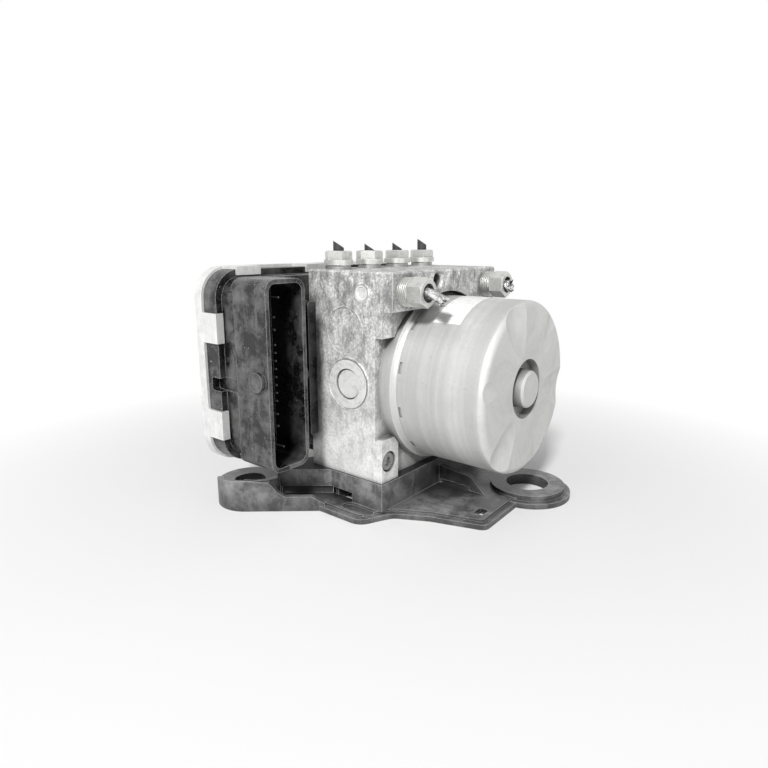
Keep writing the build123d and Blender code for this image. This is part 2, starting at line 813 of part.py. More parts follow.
def spring(axis_plane, radius, wire, height, turns):
    """Coil spring along a plane's normal, wound from its origin."""
    Helix(
        pitch=(height - wire) / turns,
        height=height - wire,
        radius=radius,
        center=axis_plane.offset(wire / 2).origin,
        direction=axis_plane.z_dir,
    )


for number, (y, inward) in enumerate(side_ys, 1):
    with BuildPart() as pump_piston:
        with BuildSketch(side_plane(motor_y - inward * piston_end, inward)):
            with Locations((inward * pump_x, motor_z)):
                Circle(piston_r)
        extrude(amount=piston_len)
        chamfer(pump_piston.edges().group_by(Axis.Y)[0 if inward > 0 else -1], length=piston_edge)
    save(pump_piston, f"pump_piston_{number}")

    start = side_plane(motor_y - inward * (piston_end + piston_len), inward)
    coil_plane = Plane(origin=(pump_x, start.origin.Y, motor_z), x_dir=start.x_dir, z_dir=start.z_dir)
    with BuildPart() as pump_spring:
        with BuildLine() as coil:
            spring(coil_plane, pump_coil_r, pump_wire, spring_room, pump_turns)
        with BuildSketch(Plane(origin=coil.line @ 0, z_dir=coil.line % 0)):
            RegularPolygon(pump_wire / 2, 6)
        sweep(path=coil.line, is_frenet=True)
    save(pump_spring, f"pump_spring_{number}")

# Damper covers and ball seals staked into the block's sides.
with BuildPart() as damper_covers:
    for y, inward in side_ys:
        with BuildSketch(side_plane(y + inward * damper_deep, inward)):
            with Locations((inward * (block_x0 + damper_x), block_z0 + damper_h)):
                Circle(damper_r)
        extrude(amount=damper_deep - damper_sunk)
        with BuildSketch(side_plane(y + inward * damper_deep, inward)):
            with Locations((inward * (block_x0 + damper_x), block_z0 + damper_h)):
                Circle(damper_r - damper_wall)
        extrude(amount=damper_deep - damper_sunk - damper_t, mode=Mode.SUBTRACT)
save(damper_covers, "damper_covers")

with BuildPart() as ball_seals:
    for y, inward in side_ys:
        with BuildSketch(side_plane(y + inward * ball_deep, inward)):
            with Locations((inward * (block_x0 + ball_x), block_z0 + ball_h)):
                Circle(ball_r)
        extrude(amount=ball_deep + ball_proud)
        with BuildSketch(side_plane(y - inward * ball_proud, inward)):
            with Locations((inward * (block_x0 + ball_x), block_z0 + ball_h)):
                Circle(ball_r - ball_rim)
        extrude(amount=-ball_dimple, taper=30, mode=Mode.SUBTRACT)
save(ball_seals, "ball_seals")

# Accumulators: covers, cup pistons and springs in the bores below the pump.
store_ys = [motor_y - store_half, motor_y + store_half]
with BuildPart() as accumulator_covers:
    with BuildSketch(Plane.XY.offset(block_z0)):
        with Locations(*[(pump_x, y) for y in store_ys]):
            Circle(store_r)
    extrude(amount=store_cover_t)
save(accumulator_covers, "accumulator_covers")

store_top = block_z0 + store_deep
for number, y in enumerate(store_ys, 1):
    with BuildPart() as accumulator_piston:
        with BuildSketch(Plane.XY.offset(store_top - store_piston_t)):
            with Locations((pump_x, y)):
                Circle(store_r - slide_gap)
        extrude(amount=store_piston_t - skin)
        with BuildSketch(Plane.XY.offset(store_top - store_piston_t)):
            with Locations((pump_x, y)):
                Circle(store_r - store_wall)
        extrude(amount=store_piston_t - store_crown, mode=Mode.SUBTRACT)
    save(accumulator_piston, f"accumulator_piston_{number}")

    foot = Plane(origin=(pump_x, y, block_z0 + store_cover_t))
    with BuildPart() as accumulator_spring:
        with BuildLine() as coil:
            spring(foot, store_coil_r, store_wire, store_deep - store_cover_t - store_crown, store_turns)
        with BuildSketch(Plane(origin=coil.line @ 0, z_dir=coil.line % 0)):
            RegularPolygon(store_wire / 2, 6)
        sweep(path=coil.line, is_frenet=True)
    save(accumulator_spring, f"accumulator_spring_{number}")

# Solenoid valves: cartridges pressed into the block, with the domes that carry the coils.
dome_x = block_x0 - collar_t - dome_len
valve_seat_x = block_x0 + valve_deep - seat_t
with BuildPart() as valve_cartridges:
    for y in valve_ys:
        for z in (inlet_z, outlet_z):
            with BuildSketch(Plane.XZ.offset(-y)):
                with BuildLine():
                    Polyline(
                        (block_x0 + valve_deep, z + seat_r),
                        (block_x0 + valve_deep, z + valve_r - cartridge_edge),
                        (block_x0 + valve_deep - cartridge_edge, z + valve_r),
                        (block_x0, z + valve_r),
                        (block_x0, z + collar_r),
                        (block_x0 - collar_t, z + collar_r),
                        (block_x0 - collar_t, z + dome_r),
                        (dome_x + dome_edge, z + dome_r),
                        (dome_x, z + dome_r - dome_edge),
                        (dome_x, z),
                        (dome_x + dome_top, z),
                        (dome_x + dome_top, z + dome_r - dome_wall),
                        (block_x0 - collar_t, z + dome_r - dome_wall),
                        (block_x0 - collar_t, z + needle_r + needle_gap),
                        (valve_seat_x - seat_t, z + needle_r + needle_gap),
                        (valve_seat_x, z + seat_r),
                        close=True,
                    )
                make_face()
            revolve(axis=Axis((0, y, z), (1, 0, 0)))
save(valve_cartridges, "valve_cartridges")

# Plungers. Inlet valves stand open at rest and outlet valves shut.
valve_spots = [(y, inlet_z, 0.0) for y in valve_ys] + [(y, outlet_z, stroke) for y in valve_ys]
needle_tip = valve_seat_x - stroke
armature_x0 = dome_x + dome_top + armature_gap
for number, (y, z, shift) in enumerate(valve_spots, 1):
    with BuildPart() as plunger:
        with BuildSketch(Plane.XZ.offset(-y)):
            with BuildLine():
                Polyline(
                    (armature_x0 + shift, z),
                    (armature_x0 + shift, z + dome_r - dome_wall - slide_gap),
                    (armature_x0 + shift + armature_len, z + dome_r - dome_wall - slide_gap),
                    (armature_x0 + shift + armature_len, z + needle_r),
                    (needle_tip + shift - 2 * needle_tip_r, z + needle_r),
                    (needle_tip + shift, z + needle_tip_r),
                    (needle_tip + shift, z),
                    close=True,
                )
            make_face()
        revolve(axis=Axis((0, y, z), (1, 0, 0)))
    save(plunger, f"valve_plunger_{number}")

with BuildPart() as solenoid_coils:
    for y in valve_ys:
        for z in (inlet_z, outlet_z):
            disc(board_x1, coil_len, coil_r, dome_r + loose_gap, y=y, z=z)
save(solenoid_coils, "solenoid_coils")

# Control unit: outline of its flange, and of the body that is smaller by the ledge.
unit_w = unit_y1 - unit_y0
unit_h = unit_z1 - unit_z0
unit_mid = (block_y0 + (unit_y0 + unit_y1) / 2, block_z0 + (unit_z0 + unit_z1) / 2)
cover_x = block_x0 - unit_deep


def unit_slab(x, inset, amount, mode=Mode.ADD, taper=0):
    """Slab with the control unit's rounded outline, smaller by the inset, in the part being built."""
    with BuildSketch(Plane.YZ.offset(x)) as outline:
        with Locations(unit_mid):
            RectangleRounded(unit_w - 2 * inset, unit_h - 2 * inset, unit_r - inset)
    extrude(outline.sketch, amount=amount, taper=taper, mode=mode)


tower_mid = (block_y0 + tower_y0 + tower_w / 2, block_z0 + tower_z0 + tower_h / 2)

with BuildPart() as control_housing:
    unit_slab(cover_x + cover_t, 0.0, flange_deep - cover_t)
    unit_slab(cover_x + flange_deep, ledge, unit_deep - flange_deep)
    unit_slab(block_x0 - unit_floor, ledge + unit_wall, unit_floor - unit_deep, Mode.SUBTRACT)
    # groove for the seal
    unit_slab(cover_x + cover_t, groove_in, seal_t, Mode.SUBTRACT)
    unit_slab(cover_x + cover_t, groove_in + seal_w, seal_t)
    unit_slab(cover_x + cover_t, ledge + unit_wall, 2 * seal_t, Mode.SUBTRACT)
    # plug tower: socket open towards the motor, with a rounded mouth
    with BuildSketch(Plane.YZ.offset(block_x0 - unit_floor)):
        with Locations(tower_mid):
            RectangleRounded(tower_w, tower_h, tower_r)
    extrude(amount=unit_floor + tower_out)
    with BuildSketch(Plane.YZ.offset(block_x0 - socket_floor)):
        with Locations(tower_mid):
            RectangleRounded(tower_w - 2 * tower_wall, tower_h - 2 * tower_wall, tower_r - tower_wall)
    extrude(amount=socket_floor + tower_out, mode=Mode.SUBTRACT)
    # skirt that hugs the block's side
    with BuildSketch(Plane.YZ.offset(block_x0)):
        with Locations((block_y0 - skirt_w / 2, block_z0 + (skirt_z0 + skirt_z1) / 2)):
            RectangleRounded(skirt_w, skirt_z1 - skirt_z0, skirt_r)
    extrude(amount=skirt_x)
    # pegs that the plug's lever turns on
    for y, out in ((block_y0 + tower_y0, -1), (block_y0 + tower_y0 + tower_w, 1)):
        with BuildSketch(side_plane(y, -out)):
            with Locations((-out * (block_x0 + peg_x), block_z0 + peg_z)):
                Circle(peg_r)
        extrude(amount=peg_h)
    # groove down the tower's outer side, where it leaves the body
    with BuildSketch(side_plane(block_y0 + tower_y0, 1)):
        with Locations((block_x0 - unit_floor + side_groove_w / 2, tower_mid[1])):
            Rectangle(side_groove_w, tower_h - 2 * tower_r)
    extrude(amount=-side_groove_t, mode=Mode.SUBTRACT)
    # recess for the plug's catch in the flange
    with BuildSketch(side_plane(block_y0 + unit_y0, 1)):
        with Locations((block_x0 - catch_x, block_z0 + catch_h)):
            RectangleRounded(catch_w, catch_l, catch_r)
    extrude(amount=-catch_t, mode=Mode.SUBTRACT)
    # holes in the floor for the valves, the motor's contacts and the plug's pins
    with BuildSketch(Plane.YZ.offset(block_x0 - unit_floor)):
        with Locations(*[(y, z) for y in valve_ys for z in (inlet_z, outlet_z)]):
            Circle(collar_r + loose_gap)
        with Locations(*contact_spots):
            Circle(contact_bore_r)
        with Locations(*pin_spots):
            Rectangle(pin_w, pin_w)
    extrude(amount=unit_floor, mode=Mode.SUBTRACT)
    # lugs behind the feet, for the long screws
    with BuildSketch(Plane.YZ.offset(block_x0 - lug_t)):
        with Locations(*screw_spots):
            Circle(lug_r)
    extrude(amount=lug_t)
    with BuildSketch(Plane.YZ.offset(block_x0 - screw_grip)):
        with Locations(*screw_spots):
            Circle(screw_r)
    extrude(amount=screw_grip, mode=Mode.SUBTRACT)
save(control_housing, "control_housing")

with BuildPart() as housing_seal:
    unit_slab(cover_x + cover_t, groove_in, seal_t)
    unit_slab(cover_x + cover_t, groove_in + seal_w, seal_t, Mode.SUBTRACT)
save(housing_seal, "housing_seal")

# Cover: a pressed aluminium pan whose tabs are folded over the housing's flange.
with BuildPart() as control_cover:
    unit_slab(cover_x, -rim_t, cover_rim)
    unit_slab(cover_x + cover_t, 0.0, cover_rim, Mode.SUBTRACT)
    # raised field pressed into the middle
    unit_slab(cover_x, field_in, -field_t, taper=45)
    tab_x0 = cover_x + cover_rim
    tab_x1 = cover_x + flange_deep
    with BuildSketch(Plane.YZ.offset(tab_x0)):
        for z in side_tabs:
            with Locations((unit_left - rim_t / 2, z), (unit_right + rim_t / 2, z)):
                Rectangle(rim_t, tab_w)
        for y in top_tabs:
            with Locations((y, unit_top + rim_t / 2), (y, unit_bottom - rim_t / 2)):
                Rectangle(tab_w, rim_t)
    extrude(amount=tab_x1 + rim_t - tab_x0)
    with BuildSketch(Plane.YZ.offset(tab_x1)):
        for z in side_tabs:
            with Locations((unit_left + tab_in / 2, z), (unit_right - tab_in / 2, z)):
                Rectangle(tab_in, tab_w)
        for y in top_tabs:
            with Locations((y, unit_top - tab_in / 2), (y, unit_bottom + tab_in / 2)):
                Rectangle(tab_w, tab_in)
    extrude(amount=rim_t)
save(control_cover, "control_cover")

# Circuit board on the coils, its components, and the pins that stand in the socket.
board_x0 = board_x1 - board_t
with BuildPart() as circuit_board:
    unit_slab(board_x0, ledge + unit_wall + loose_gap, board_t)
save(circuit_board, "circuit_board")

with BuildPart() as board_components:
    with BuildSketch(Plane.YZ.offset(board_x0)):
        for (y, z), (width, height) in chips:
            with Locations((motor_y + y, motor_z + z)):
                Rectangle(width, height)
    extrude(amount=-chip_t)
    with BuildSketch(Plane.YZ.offset(board_x0)):
        with Locations(*[(y, motor_z + side * switch_rise) for y in valve_ys for side in (1, -1)]):
            Rectangle(switch_w, switch_h)
    extrude(amount=-switch_t)
    with BuildSketch(Plane.YZ.offset(board_x0)):
        with Locations(*[(tower_mid[0], motor_z + side * capacitor_rise) for side in (1, -1)]):
            Circle(capacitor_r)
    extrude(amount=-capacitor_t)
save(board_components, "board_components")

with BuildPart() as connector_pins:
    with BuildSketch(Plane.YZ.offset(board_x1)):
        with Locations(*pin_spots):
            Rectangle(pin_w, pin_w)
    extrude(amount=block_x0 + pin_out - board_x1)
    with BuildSketch(Plane.YZ.offset(block_x0 + pin_out)):
        with Locations(*blade_spots):
            Rectangle(pin_w, pin_w)
    extrude(amount=blade_more)
save(connector_pins, "connector_pins")

# Long screws through the block's feet into the housing's lugs.
with BuildPart() as housing_screws:
    with BuildSketch(Plane.YZ.offset(block_x0 - screw_grip + step_gap)):
        with Locations(*screw_spots):
            Circle(screw_r)
    extrude(amount=screw_grip - step_gap + seat_d + foot_d - screw_head_t)
    with BuildSketch(Plane.YZ.offset(foot_x - screw_head_t)):
        with Locations(*screw_spots):
            Circle(screw_head_r)
    extrude(amount=screw_head_t - screw_sunk)
    rims = housing_screws.edges().filter_by(GeomType.CIRCLE).group_by(Axis.X)[-1]
    chamfer(rims, length=screw_head_edge)
    with BuildSketch(Plane.YZ.offset(foot_x - screw_sunk)):
        with Locations(*screw_spots):
            RegularPolygon(drive_r, 6)
            RegularPolygon(drive_r, 6, rotation=30)
    extrude(amount=-drive_t, mode=Mode.SUBTRACT)
save(housing_screws, "housing_screws")


def turn_corners(axis, out, at, size, way):
    """Turns off the corners of a hexagon at one end, at an angle of 30 degrees to the end's face."""
    near = size / 2 - corner_in
    far = size
    fall = (far - near) * tan(radians(30))
    middle = axis.position
    start = middle + axis.direction * at
    with BuildSketch(Plane(origin=start, x_dir=out, z_dir=out.cross(axis.direction))) as wedge:
        with BuildLine():
            Polyline((near, 0), (far, 0), (far, -way * fall), close=True)
        make_face()
    revolve(wedge.sketch, axis=axis, mode=Mode.SUBTRACT)


# Wheel circuits: nuts with a collar under the hexagon, and the cut-off ends of their pipes.
wheel_turns = [24.6, 32.7, 14.6, 15.1]  # where a corner of each hexagon points
wheel_tips = [12.3, 11.1, 11.6, 13.5]  # highest points of the cut pipes, above the block
with BuildPart() as wheel_fittings:
    for y, turn in zip(wheel_ys, wheel_turns):
        spot = Plane(origin=(block_x0 + wheel_x, y, block_z1))
        with BuildSketch(spot.offset(-thread_len)):
            Circle(wheel_thread_r - skin)
        extrude(amount=thread_len)
        with BuildSketch(spot):
            Circle(wheel_thread_r + neck_more)
        extrude(amount=neck_h)
        with BuildSketch(spot.offset(neck_h)):
            Circle(ring_out_r)
        extrude(amount=ring_h)
        with BuildSketch(spot.offset(neck_h + ring_h)):
            RegularPolygon(wheel_hex / 2, 6, major_radius=False, rotation=turn)
        extrude(amount=hex_h)
        turn_corners(Axis(spot.origin, (0, 0, 1)), spot.x_dir, neck_h + ring_h + hex_h, wheel_hex, 1)
        with BuildSketch(spot.offset(-thread_len)):
            Circle(pipe_r + skin)
        extrude(amount=thread_len + neck_h + ring_h + hex_h, mode=Mode.SUBTRACT)
save(wheel_fittings, "wheel_fittings")

pipe_foot = thread_len + flare_t
for number, (y, tip) in enumerate(zip(wheel_ys, wheel_tips), 1):
    spot = Plane(origin=(block_x0 + wheel_x, y, block_z1))
    with BuildPart() as wheel_pipe:
        with BuildSketch(spot.offset(-pipe_foot)):
            Circle(pipe_r)
        extrude(amount=pipe_foot + tip)
        with BuildSketch(spot.offset(-pipe_foot)):
            Circle(flare_r)
        extrude(amount=flare_t)
        with BuildSketch(spot.offset(-pipe_foot)):
            Circle(pipe_bore)
        extrude(amount=pipe_foot + tip, mode=Mode.SUBTRACT)
        # slanted cut in two facets, highest on one side
        high = spot.offset(tip).origin - cut_way * pipe_r
        bend = high + cut_way * pipe_r - Vector(0, 0, pipe_r * cut_slopes[0])
        for point, slope in zip((high, bend), cut_slopes):
            split(bisect_by=Plane(origin=point, z_dir=cut_way * slope + Vector(0, 0, 1)), keep=Keep.BOTTOM)
    save(wheel_pipe, f"wheel_pipe_{number}")

# Master cylinder circuits: longer nuts in the head, with the crushed ends of their pipes.
with BuildPart() as master_fittings:
    for y, turn in zip(master_ys, master_turns):
        spot = Plane(origin=(head_x, y, block_z0 + master_h), x_dir=(0, 1, 0), z_dir=(1, 0, 0))
        nut_end = master_out + master_hex_h
        with BuildSketch(spot.offset(-thread_len)):
            Circle(master_thread_r - skin)
        extrude(amount=thread_len)
        with BuildSketch(spot):
            Circle(master_thread_r - thread_relief)
        extrude(amount=master_out)
        with BuildSketch(spot.offset(master_out)):
            RegularPolygon(master_hex / 2, 6, major_radius=False, rotation=turn)
        extrude(amount=master_hex_h)
        turn_corners(Axis(spot.origin, spot.z_dir), spot.x_dir, master_out, master_hex, -1)
        turn_corners(Axis(spot.origin, spot.z_dir), spot.x_dir, nut_end, master_hex, 1)
        with BuildSketch(spot.offset(-thread_len)):
            Circle(pipe_r + skin)
        extrude(amount=thread_len + nut_end, mode=Mode.SUBTRACT)
        with BuildSketch(spot.offset(nut_end)):
            Circle(nut_mouth_r)
        extrude(amount=-nut_mouth_t, mode=Mode.SUBTRACT)
save(master_fittings, "master_fittings")

# each crushed end: reach and drop of its tip, half width and half thickness there, and its turn
crushed_ends = [(19.6, 3.3, 3.0, 0.9, 20.0), (14.2, 0.4, 3.5, 1.0, 100.0)]
round_to = master_out + master_hex_h - crush_start  # pipes are round up to here
for number, (y, end) in enumerate(zip(master_ys, crushed_ends), 1):
    reach, drop, half_w, half_t, turn = end
    spot = Plane(origin=(head_x, y, block_z0 + master_h), x_dir=(0, 1, 0), z_dir=(1, 0, 0))
    lean = Vector(reach - round_to, 0, -2 * drop).normalized()
    tip = spot.origin + Vector(reach, 0, -drop)
    with BuildPart() as master_pipe:
        with BuildSketch(spot.offset(-master_foot)):
            Circle(pipe_r)
        extrude(amount=master_foot + round_to)
        with BuildSketch(spot.offset(-master_foot)):
            Circle(flare_r)
        extrude(amount=flare_t)
        with BuildSketch(spot.offset(-master_foot)):
            Circle(pipe_bore)
        extrude(amount=master_foot + round_to - 1.0, mode=Mode.SUBTRACT)
        with BuildSketch(spot.offset(round_to)) as root:
            Circle(pipe_r)
        with BuildSketch(Plane(origin=tip, x_dir=(0, 1, 0), z_dir=lean)) as crushed:
            Ellipse(half_w, half_t, rotation=turn)
        loft([root.sketch.face(), crushed.sketch.face()])
    save(master_pipe, f"master_pipe_{number}")

# Bracket: a moulded plate with a down-turned rim and two eyes, and a saddle that carries the block.
near_eye = Vector(-eye_x, -eye_y, 0)
out_way = Vector(cos(radians(tangent_turn)), sin(radians(tangent_turn)), 0)
wall_way = Vector(-out_way.Y, out_way.X, 0)
wall_start = near_eye + out_way * near_r
wall_plane = Plane(origin=wall_start, x_dir=wall_way, z_dir=out_way)

# wall that stands up round the outer side of the near eye, its top sloping back towards the hole
with BuildPart() as eye_wall:
    with BuildSketch(Plane.XY.offset(near_h)):
        with Locations(near_eye):
            Circle(near_r)
            Circle(near_r - near_wall, mode=Mode.SUBTRACT)
        with Locations(Location(near_eye - out_way * near_r, (0, 0, tangent_turn))):
            Rectangle(2 * near_r, 3 * near_r, mode=Mode.SUBTRACT)
    extrude(amount=near_wall_top - near_h)
    top = wall_start + Vector(0, 0, near_wall_top)
    leaning = Vector(0, 0, 1) - out_way * near_wall_slope
    split(bisect_by=Plane(origin=top, z_dir=leaning), keep=Keep.BOTTOM)

front_start = (-14.0, -34.4)  # where the plate's front edge leaves the near eye's wall
front_bends = [(9.6, -34.4), (16.4, -19.6), (31.0, -11.8)]
far_corner = (54.6, -4.2)
far_side = [(53.8, 24.0), (eye_x, eye_y), (32.0, 56.0), (16.0, saddle_back)]
near_side = [(-62.0, -36.8), (-eye_x, -eye_y)]
back_corner = [(-24.0, saddle_back), (saddle_x0, 52.0), (saddle_x0, -8.0)]
saddle_tip = (-36.5, -39.0)
saddle_bend = (-17.0, saddle_y)
with BuildSketch() as plate_outline:
    with BuildLine():
        front = Line((wall_start.X, wall_start.Y), front_start)
        Polyline(
            front @ 1,
            *front_bends,
            far_corner,
            *far_side,
            *back_corner,
            *near_side,
            front @ 0,
        )
    make_face()
    for x, y in front_bends:
        fillet(plate_outline.vertices().sort_by_distance((x, y, 0))[0], radius=plate_round)
    fillet(plate_outline.vertices().sort_by_distance((*far_corner, 0))[0], radius=corner_round)
    with Locations((-eye_x, -eye_y)):
        Circle(near_r)
    with Locations((eye_x, eye_y)):
        Circle(far_foot_r)

with BuildSketch(Plane.XY.offset(plate_top)) as saddle_outline:
    with BuildLine():
        Polyline(
            saddle_tip,
            saddle_bend,
            (saddle_x, saddle_y),
            (saddle_x, saddle_back),
            *back_corner,
            (-45.0, -32.0),
            close=True,
        )
    make_face()

with BuildSketch() as plate_hollow:
    add(plate_outline.sketch)
    offset(amount=-rim_w)

with BuildSketch() as saddle_hollow:
    add(saddle_outline.sketch_local)
    offset(amount=-wall_t)

# cells between the ribs, with one more column where the saddle runs on to the near eye
hollow_w = saddle_x - saddle_x0 - 2 * wall_t
hollow_l = saddle_back - saddle_y - 2 * wall_t
cell_w = (hollow_w - (cell_cols - 1) * web_t) / cell_cols
cell_l = (hollow_l - (cell_rows - 1) * web_t) / cell_rows
cell_mid = ((saddle_x + saddle_x0 - cell_w - web_t) / 2, (saddle_back + saddle_y) / 2)
with BuildSketch() as saddle_cells:
    with Locations(cell_mid):
        with GridLocations(cell_w + web_t, cell_l + web_t, cell_cols + 1, cell_rows):
            Rectangle(cell_w, cell_l)
    add(saddle_hollow.sketch, mode=Mode.INTERSECT)

with BuildSketch(Plane.XY.offset(ledge_h)) as plate_ledge:
    add(plate_outline.sketch_local)
    offset(plate_outline.sketch_local, amount=-ledge_w, mode=Mode.SUBTRACT)

with BuildPart() as bracket:
    extrude(plate_outline.sketch, amount=plate_top)
    extrude(plate_hollow.sketch, amount=plate_top - web_t, mode=Mode.SUBTRACT)
    extrude(plate_ledge.sketch, amount=plate_top - ledge_h, mode=Mode.SUBTRACT)
    # saddle: a deck on a grid of ribs, open underneath
    extrude(saddle_outline.sketch, amount=block_z0 - plate_top)
    extrude(saddle_cells.sketch, amount=block_z0 - wall_t, mode=Mode.SUBTRACT)
    # long slot under the saddle's front rail, round the corner of its two front walls
    with BuildSketch(Plane.XZ.offset(-saddle_y)):
        with Locations(((saddle_bend[0] + slot_x) / 2, (plate_top + slot_z1) / 2)):
            Rectangle(slot_x - saddle_bend[0], slot_z1 - plate_top)
    extrude(amount=-wall_t, mode=Mode.SUBTRACT)
    slant = Vector(saddle_bend[0] - saddle_tip[0], saddle_bend[1] - saddle_tip[1], 0)
    slant_plane = Plane(origin=saddle_bend, x_dir=slant, z_dir=(slant.Y, -slant.X, 0))
    with BuildSketch(slant_plane):
        with Locations((slot_turn - slant.length / 2, (plate_top + slot_z1) / 2)):
            Rectangle(slant.length, slot_z1 - plate_top)
    extrude(amount=-wall_t, mode=Mode.SUBTRACT)
    # bosses for the bolts into the block
    with BuildSketch():
        with Locations(*bolt_spots):
            Circle(boss_r)
    extrude(amount=block_z0)
    with BuildSketch():
        with Locations(*bolt_spots):
            Circle(bolt_r + loose_gap)
    extrude(amount=block_z0, mode=Mode.SUBTRACT)
    with BuildSketch():
        with Locations(*bolt_spots):
            Circle(bolt_head_r + bolt_room)
    extrude(amount=bolt_sunk, mode=Mode.SUBTRACT)
    # web that runs out under the motor, with a low slot
    with BuildSketch(Plane.XZ.offset(-web_y)):
        with BuildLine():
            Polyline(
                (saddle_x, plate_top - 0.5),
                (saddle_x, web_top),
                (web_x, web_top - web_fall),
                (web_x + web_foot, plate_top),
                (web_x + web_foot, plate_top - 0.5),
                close=True,
            )
        make_face()
        with Locations(((saddle_x + web_x + 1.0) / 2, plate_top + web_slot_h / 2)):
            Rectangle(web_slot_l, web_slot_h, mode=Mode.SUBTRACT)
    extrude(amount=-wall_t)
    # near eye with the wall that runs on from it
    with BuildSketch():
        with Locations(near_eye):
            Circle(near_r)
    extrude(amount=near_h)
    add(eye_wall.part)
    with BuildSketch(wall_plane):
        with BuildLine():
            Polyline(
                (0, 0),
                (0, near_wall_top),
                (near_wall_turn, near_wall_top - 0.8),
                (near_wall_turn + 4.0, near_wall_low + 2.0),
                (near_wall_turn + 7.0, near_wall_low),
                (near_wall_end - 6.0, near_wall_low),
                (near_wall_end, plate_top),
                (near_wall_end, 0),
                close=True,
            )
        make_face()
    extrude(amount=-wall_t)
    with BuildSketch():
        with Locations(near_eye):
            Circle(near_hole)
    extrude(amount=near_h, mode=Mode.SUBTRACT)
    # far eye
    with BuildSketch():
        with Locations((eye_x, eye_y)):
            Circle(far_foot_r)
    extrude(amount=far_foot_h)
    with BuildSketch():
        with Locations((eye_x, eye_y)):
            Circle(far_r)
    extrude(amount=far_h)
    with BuildSketch():
        with Locations((eye_x, eye_y)):
            Circle(far_hole)
    extrude(amount=far_h, mode=Mode.SUBTRACT)
    # shallow dish and small window in the plate
    with BuildSketch(Plane.XY.offset(plate_top)):
        with Locations(dish_spot):
            SlotOverall(2 * dish_r, dish_w)
    extrude(amount=-dish_deep, mode=Mode.SUBTRACT)
    with BuildSketch():
        with Locations(window_spot):
            Rectangle(window_w, window_l)
    extrude(amount=plate_top, mode=Mode.SUBTRACT)
save(bracket, "bracket")

with BuildPart() as bracket_bolts:
    with BuildSketch(Plane.XY.offset(bolt_sunk)):
        with Locations(*bolt_spots):
            Circle(bolt_r)
    extrude(amount=block_z0 + bolt_in - bolt_sunk)
    with BuildSketch(Plane.XY.offset(bolt_sunk)):
        with Locations(*bolt_spots):
            Circle(bolt_head_r)
    extrude(amount=-bolt_head_t)
    with BuildSketch(Plane.XY.offset(bolt_sunk - bolt_head_t)):
        with Locations(*bolt_spots):
            RegularPolygon(drive_r, 6)
    extrude(amount=drive_t, mode=Mode.SUBTRACT)
save(bracket_bolts, "bracket_bolts")
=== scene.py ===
import math

import bpy
import numpy as np
from bpy.props import FloatProperty, FloatVectorProperty, PointerProperty
from mathutils import Euler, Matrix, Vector


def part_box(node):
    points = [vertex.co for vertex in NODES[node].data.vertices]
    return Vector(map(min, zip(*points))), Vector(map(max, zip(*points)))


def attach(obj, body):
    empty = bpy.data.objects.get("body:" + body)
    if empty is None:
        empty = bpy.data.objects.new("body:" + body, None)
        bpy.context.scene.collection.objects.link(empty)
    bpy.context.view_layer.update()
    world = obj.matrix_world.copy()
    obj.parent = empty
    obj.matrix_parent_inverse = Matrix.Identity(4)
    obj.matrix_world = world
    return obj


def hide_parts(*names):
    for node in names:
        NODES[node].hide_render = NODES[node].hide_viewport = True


bl_info = {
    "name": "ABS Brake Module",
    "version": (1, 0, 0),
    "blender": (4, 5, 0),
    "location": "3D View > Sidebar > Brake Module",
    "description": "Finishes and fine pieces of an anti-lock brake module, round its CAD frame",
    "category": "Object",
}

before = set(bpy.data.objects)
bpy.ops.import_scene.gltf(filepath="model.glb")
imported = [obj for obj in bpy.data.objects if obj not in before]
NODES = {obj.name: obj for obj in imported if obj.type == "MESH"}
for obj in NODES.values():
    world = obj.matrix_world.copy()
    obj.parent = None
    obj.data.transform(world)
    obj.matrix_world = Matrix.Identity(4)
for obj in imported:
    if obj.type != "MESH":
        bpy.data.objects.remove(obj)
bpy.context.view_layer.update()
TURN = 2 * math.pi

# Lengths are in metres, but for those that end in MM, and angles are in degrees.

# The camera was fitted to the block's, the control unit's and the motor's edges in the photograph.
CAMERA_PLACE = (0.1659, -0.2119, 0.1188)
CAMERA_AZIMUTH = 38.8
CAMERA_DOWN = 13.3
CAMERA_ROLL = -0.1
CAMERA_SENSOR_MM = 36.0
CAMERA_LENS_MM = 27.98

# Lamps: place and width of side. Both point at AIM, the middle of the module.
AIM = (0, 0, 0.06)
KEY_PLACE, KEY_WIDTH = (0.42, -0.87, 0.78), 0.14
FILL_PLACE, FILL_WIDTH = (1.10, -0.20, 0.30), 0.7

# Floor: half its width, and the distances from the middle between which it passes into plain white.
FLOOR_HALF = 4.0
FLOOR_FADE_FROM = 0.06
FLOOR_FADE_TO = 0.26

BLOCK_LOW, BLOCK_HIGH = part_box("valve_block")
NUT_LOW, NUT_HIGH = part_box("master_fittings")
NUT_Z = (NUT_LOW[2] + NUT_HIGH[2]) / 2

# Points round a nut or a pipe.
ROUND = 96

# Thread on the long nuts. Its ends are sunk a little into the block and into the hexagon.
THREAD_SHOWN = 0.0046
THREAD_IN_BLOCK = 0.0003
THREAD_IN_NUT = 0.0002
THREAD_CORE = 0.0055
THREAD_ROWS = 150

# Pipes in the long nuts: the flare at the foot, how far inside the nut's face the tearing starts, the rings
# of points along the torn stretch outside and inside, and how near its start the inside closes.
PIPE_RADIUS = 0.002375
FLARE_RADIUS = 0.0036
FLARE_END = 0.0016
FLARE_CONE_END = 0.0018
TEAR_DEPTH = 0.0022
TEAR_ROWS_OUTSIDE = 60
TEAR_ROWS_INSIDE = 40
TEAR_CLOSED_AT = 0.1

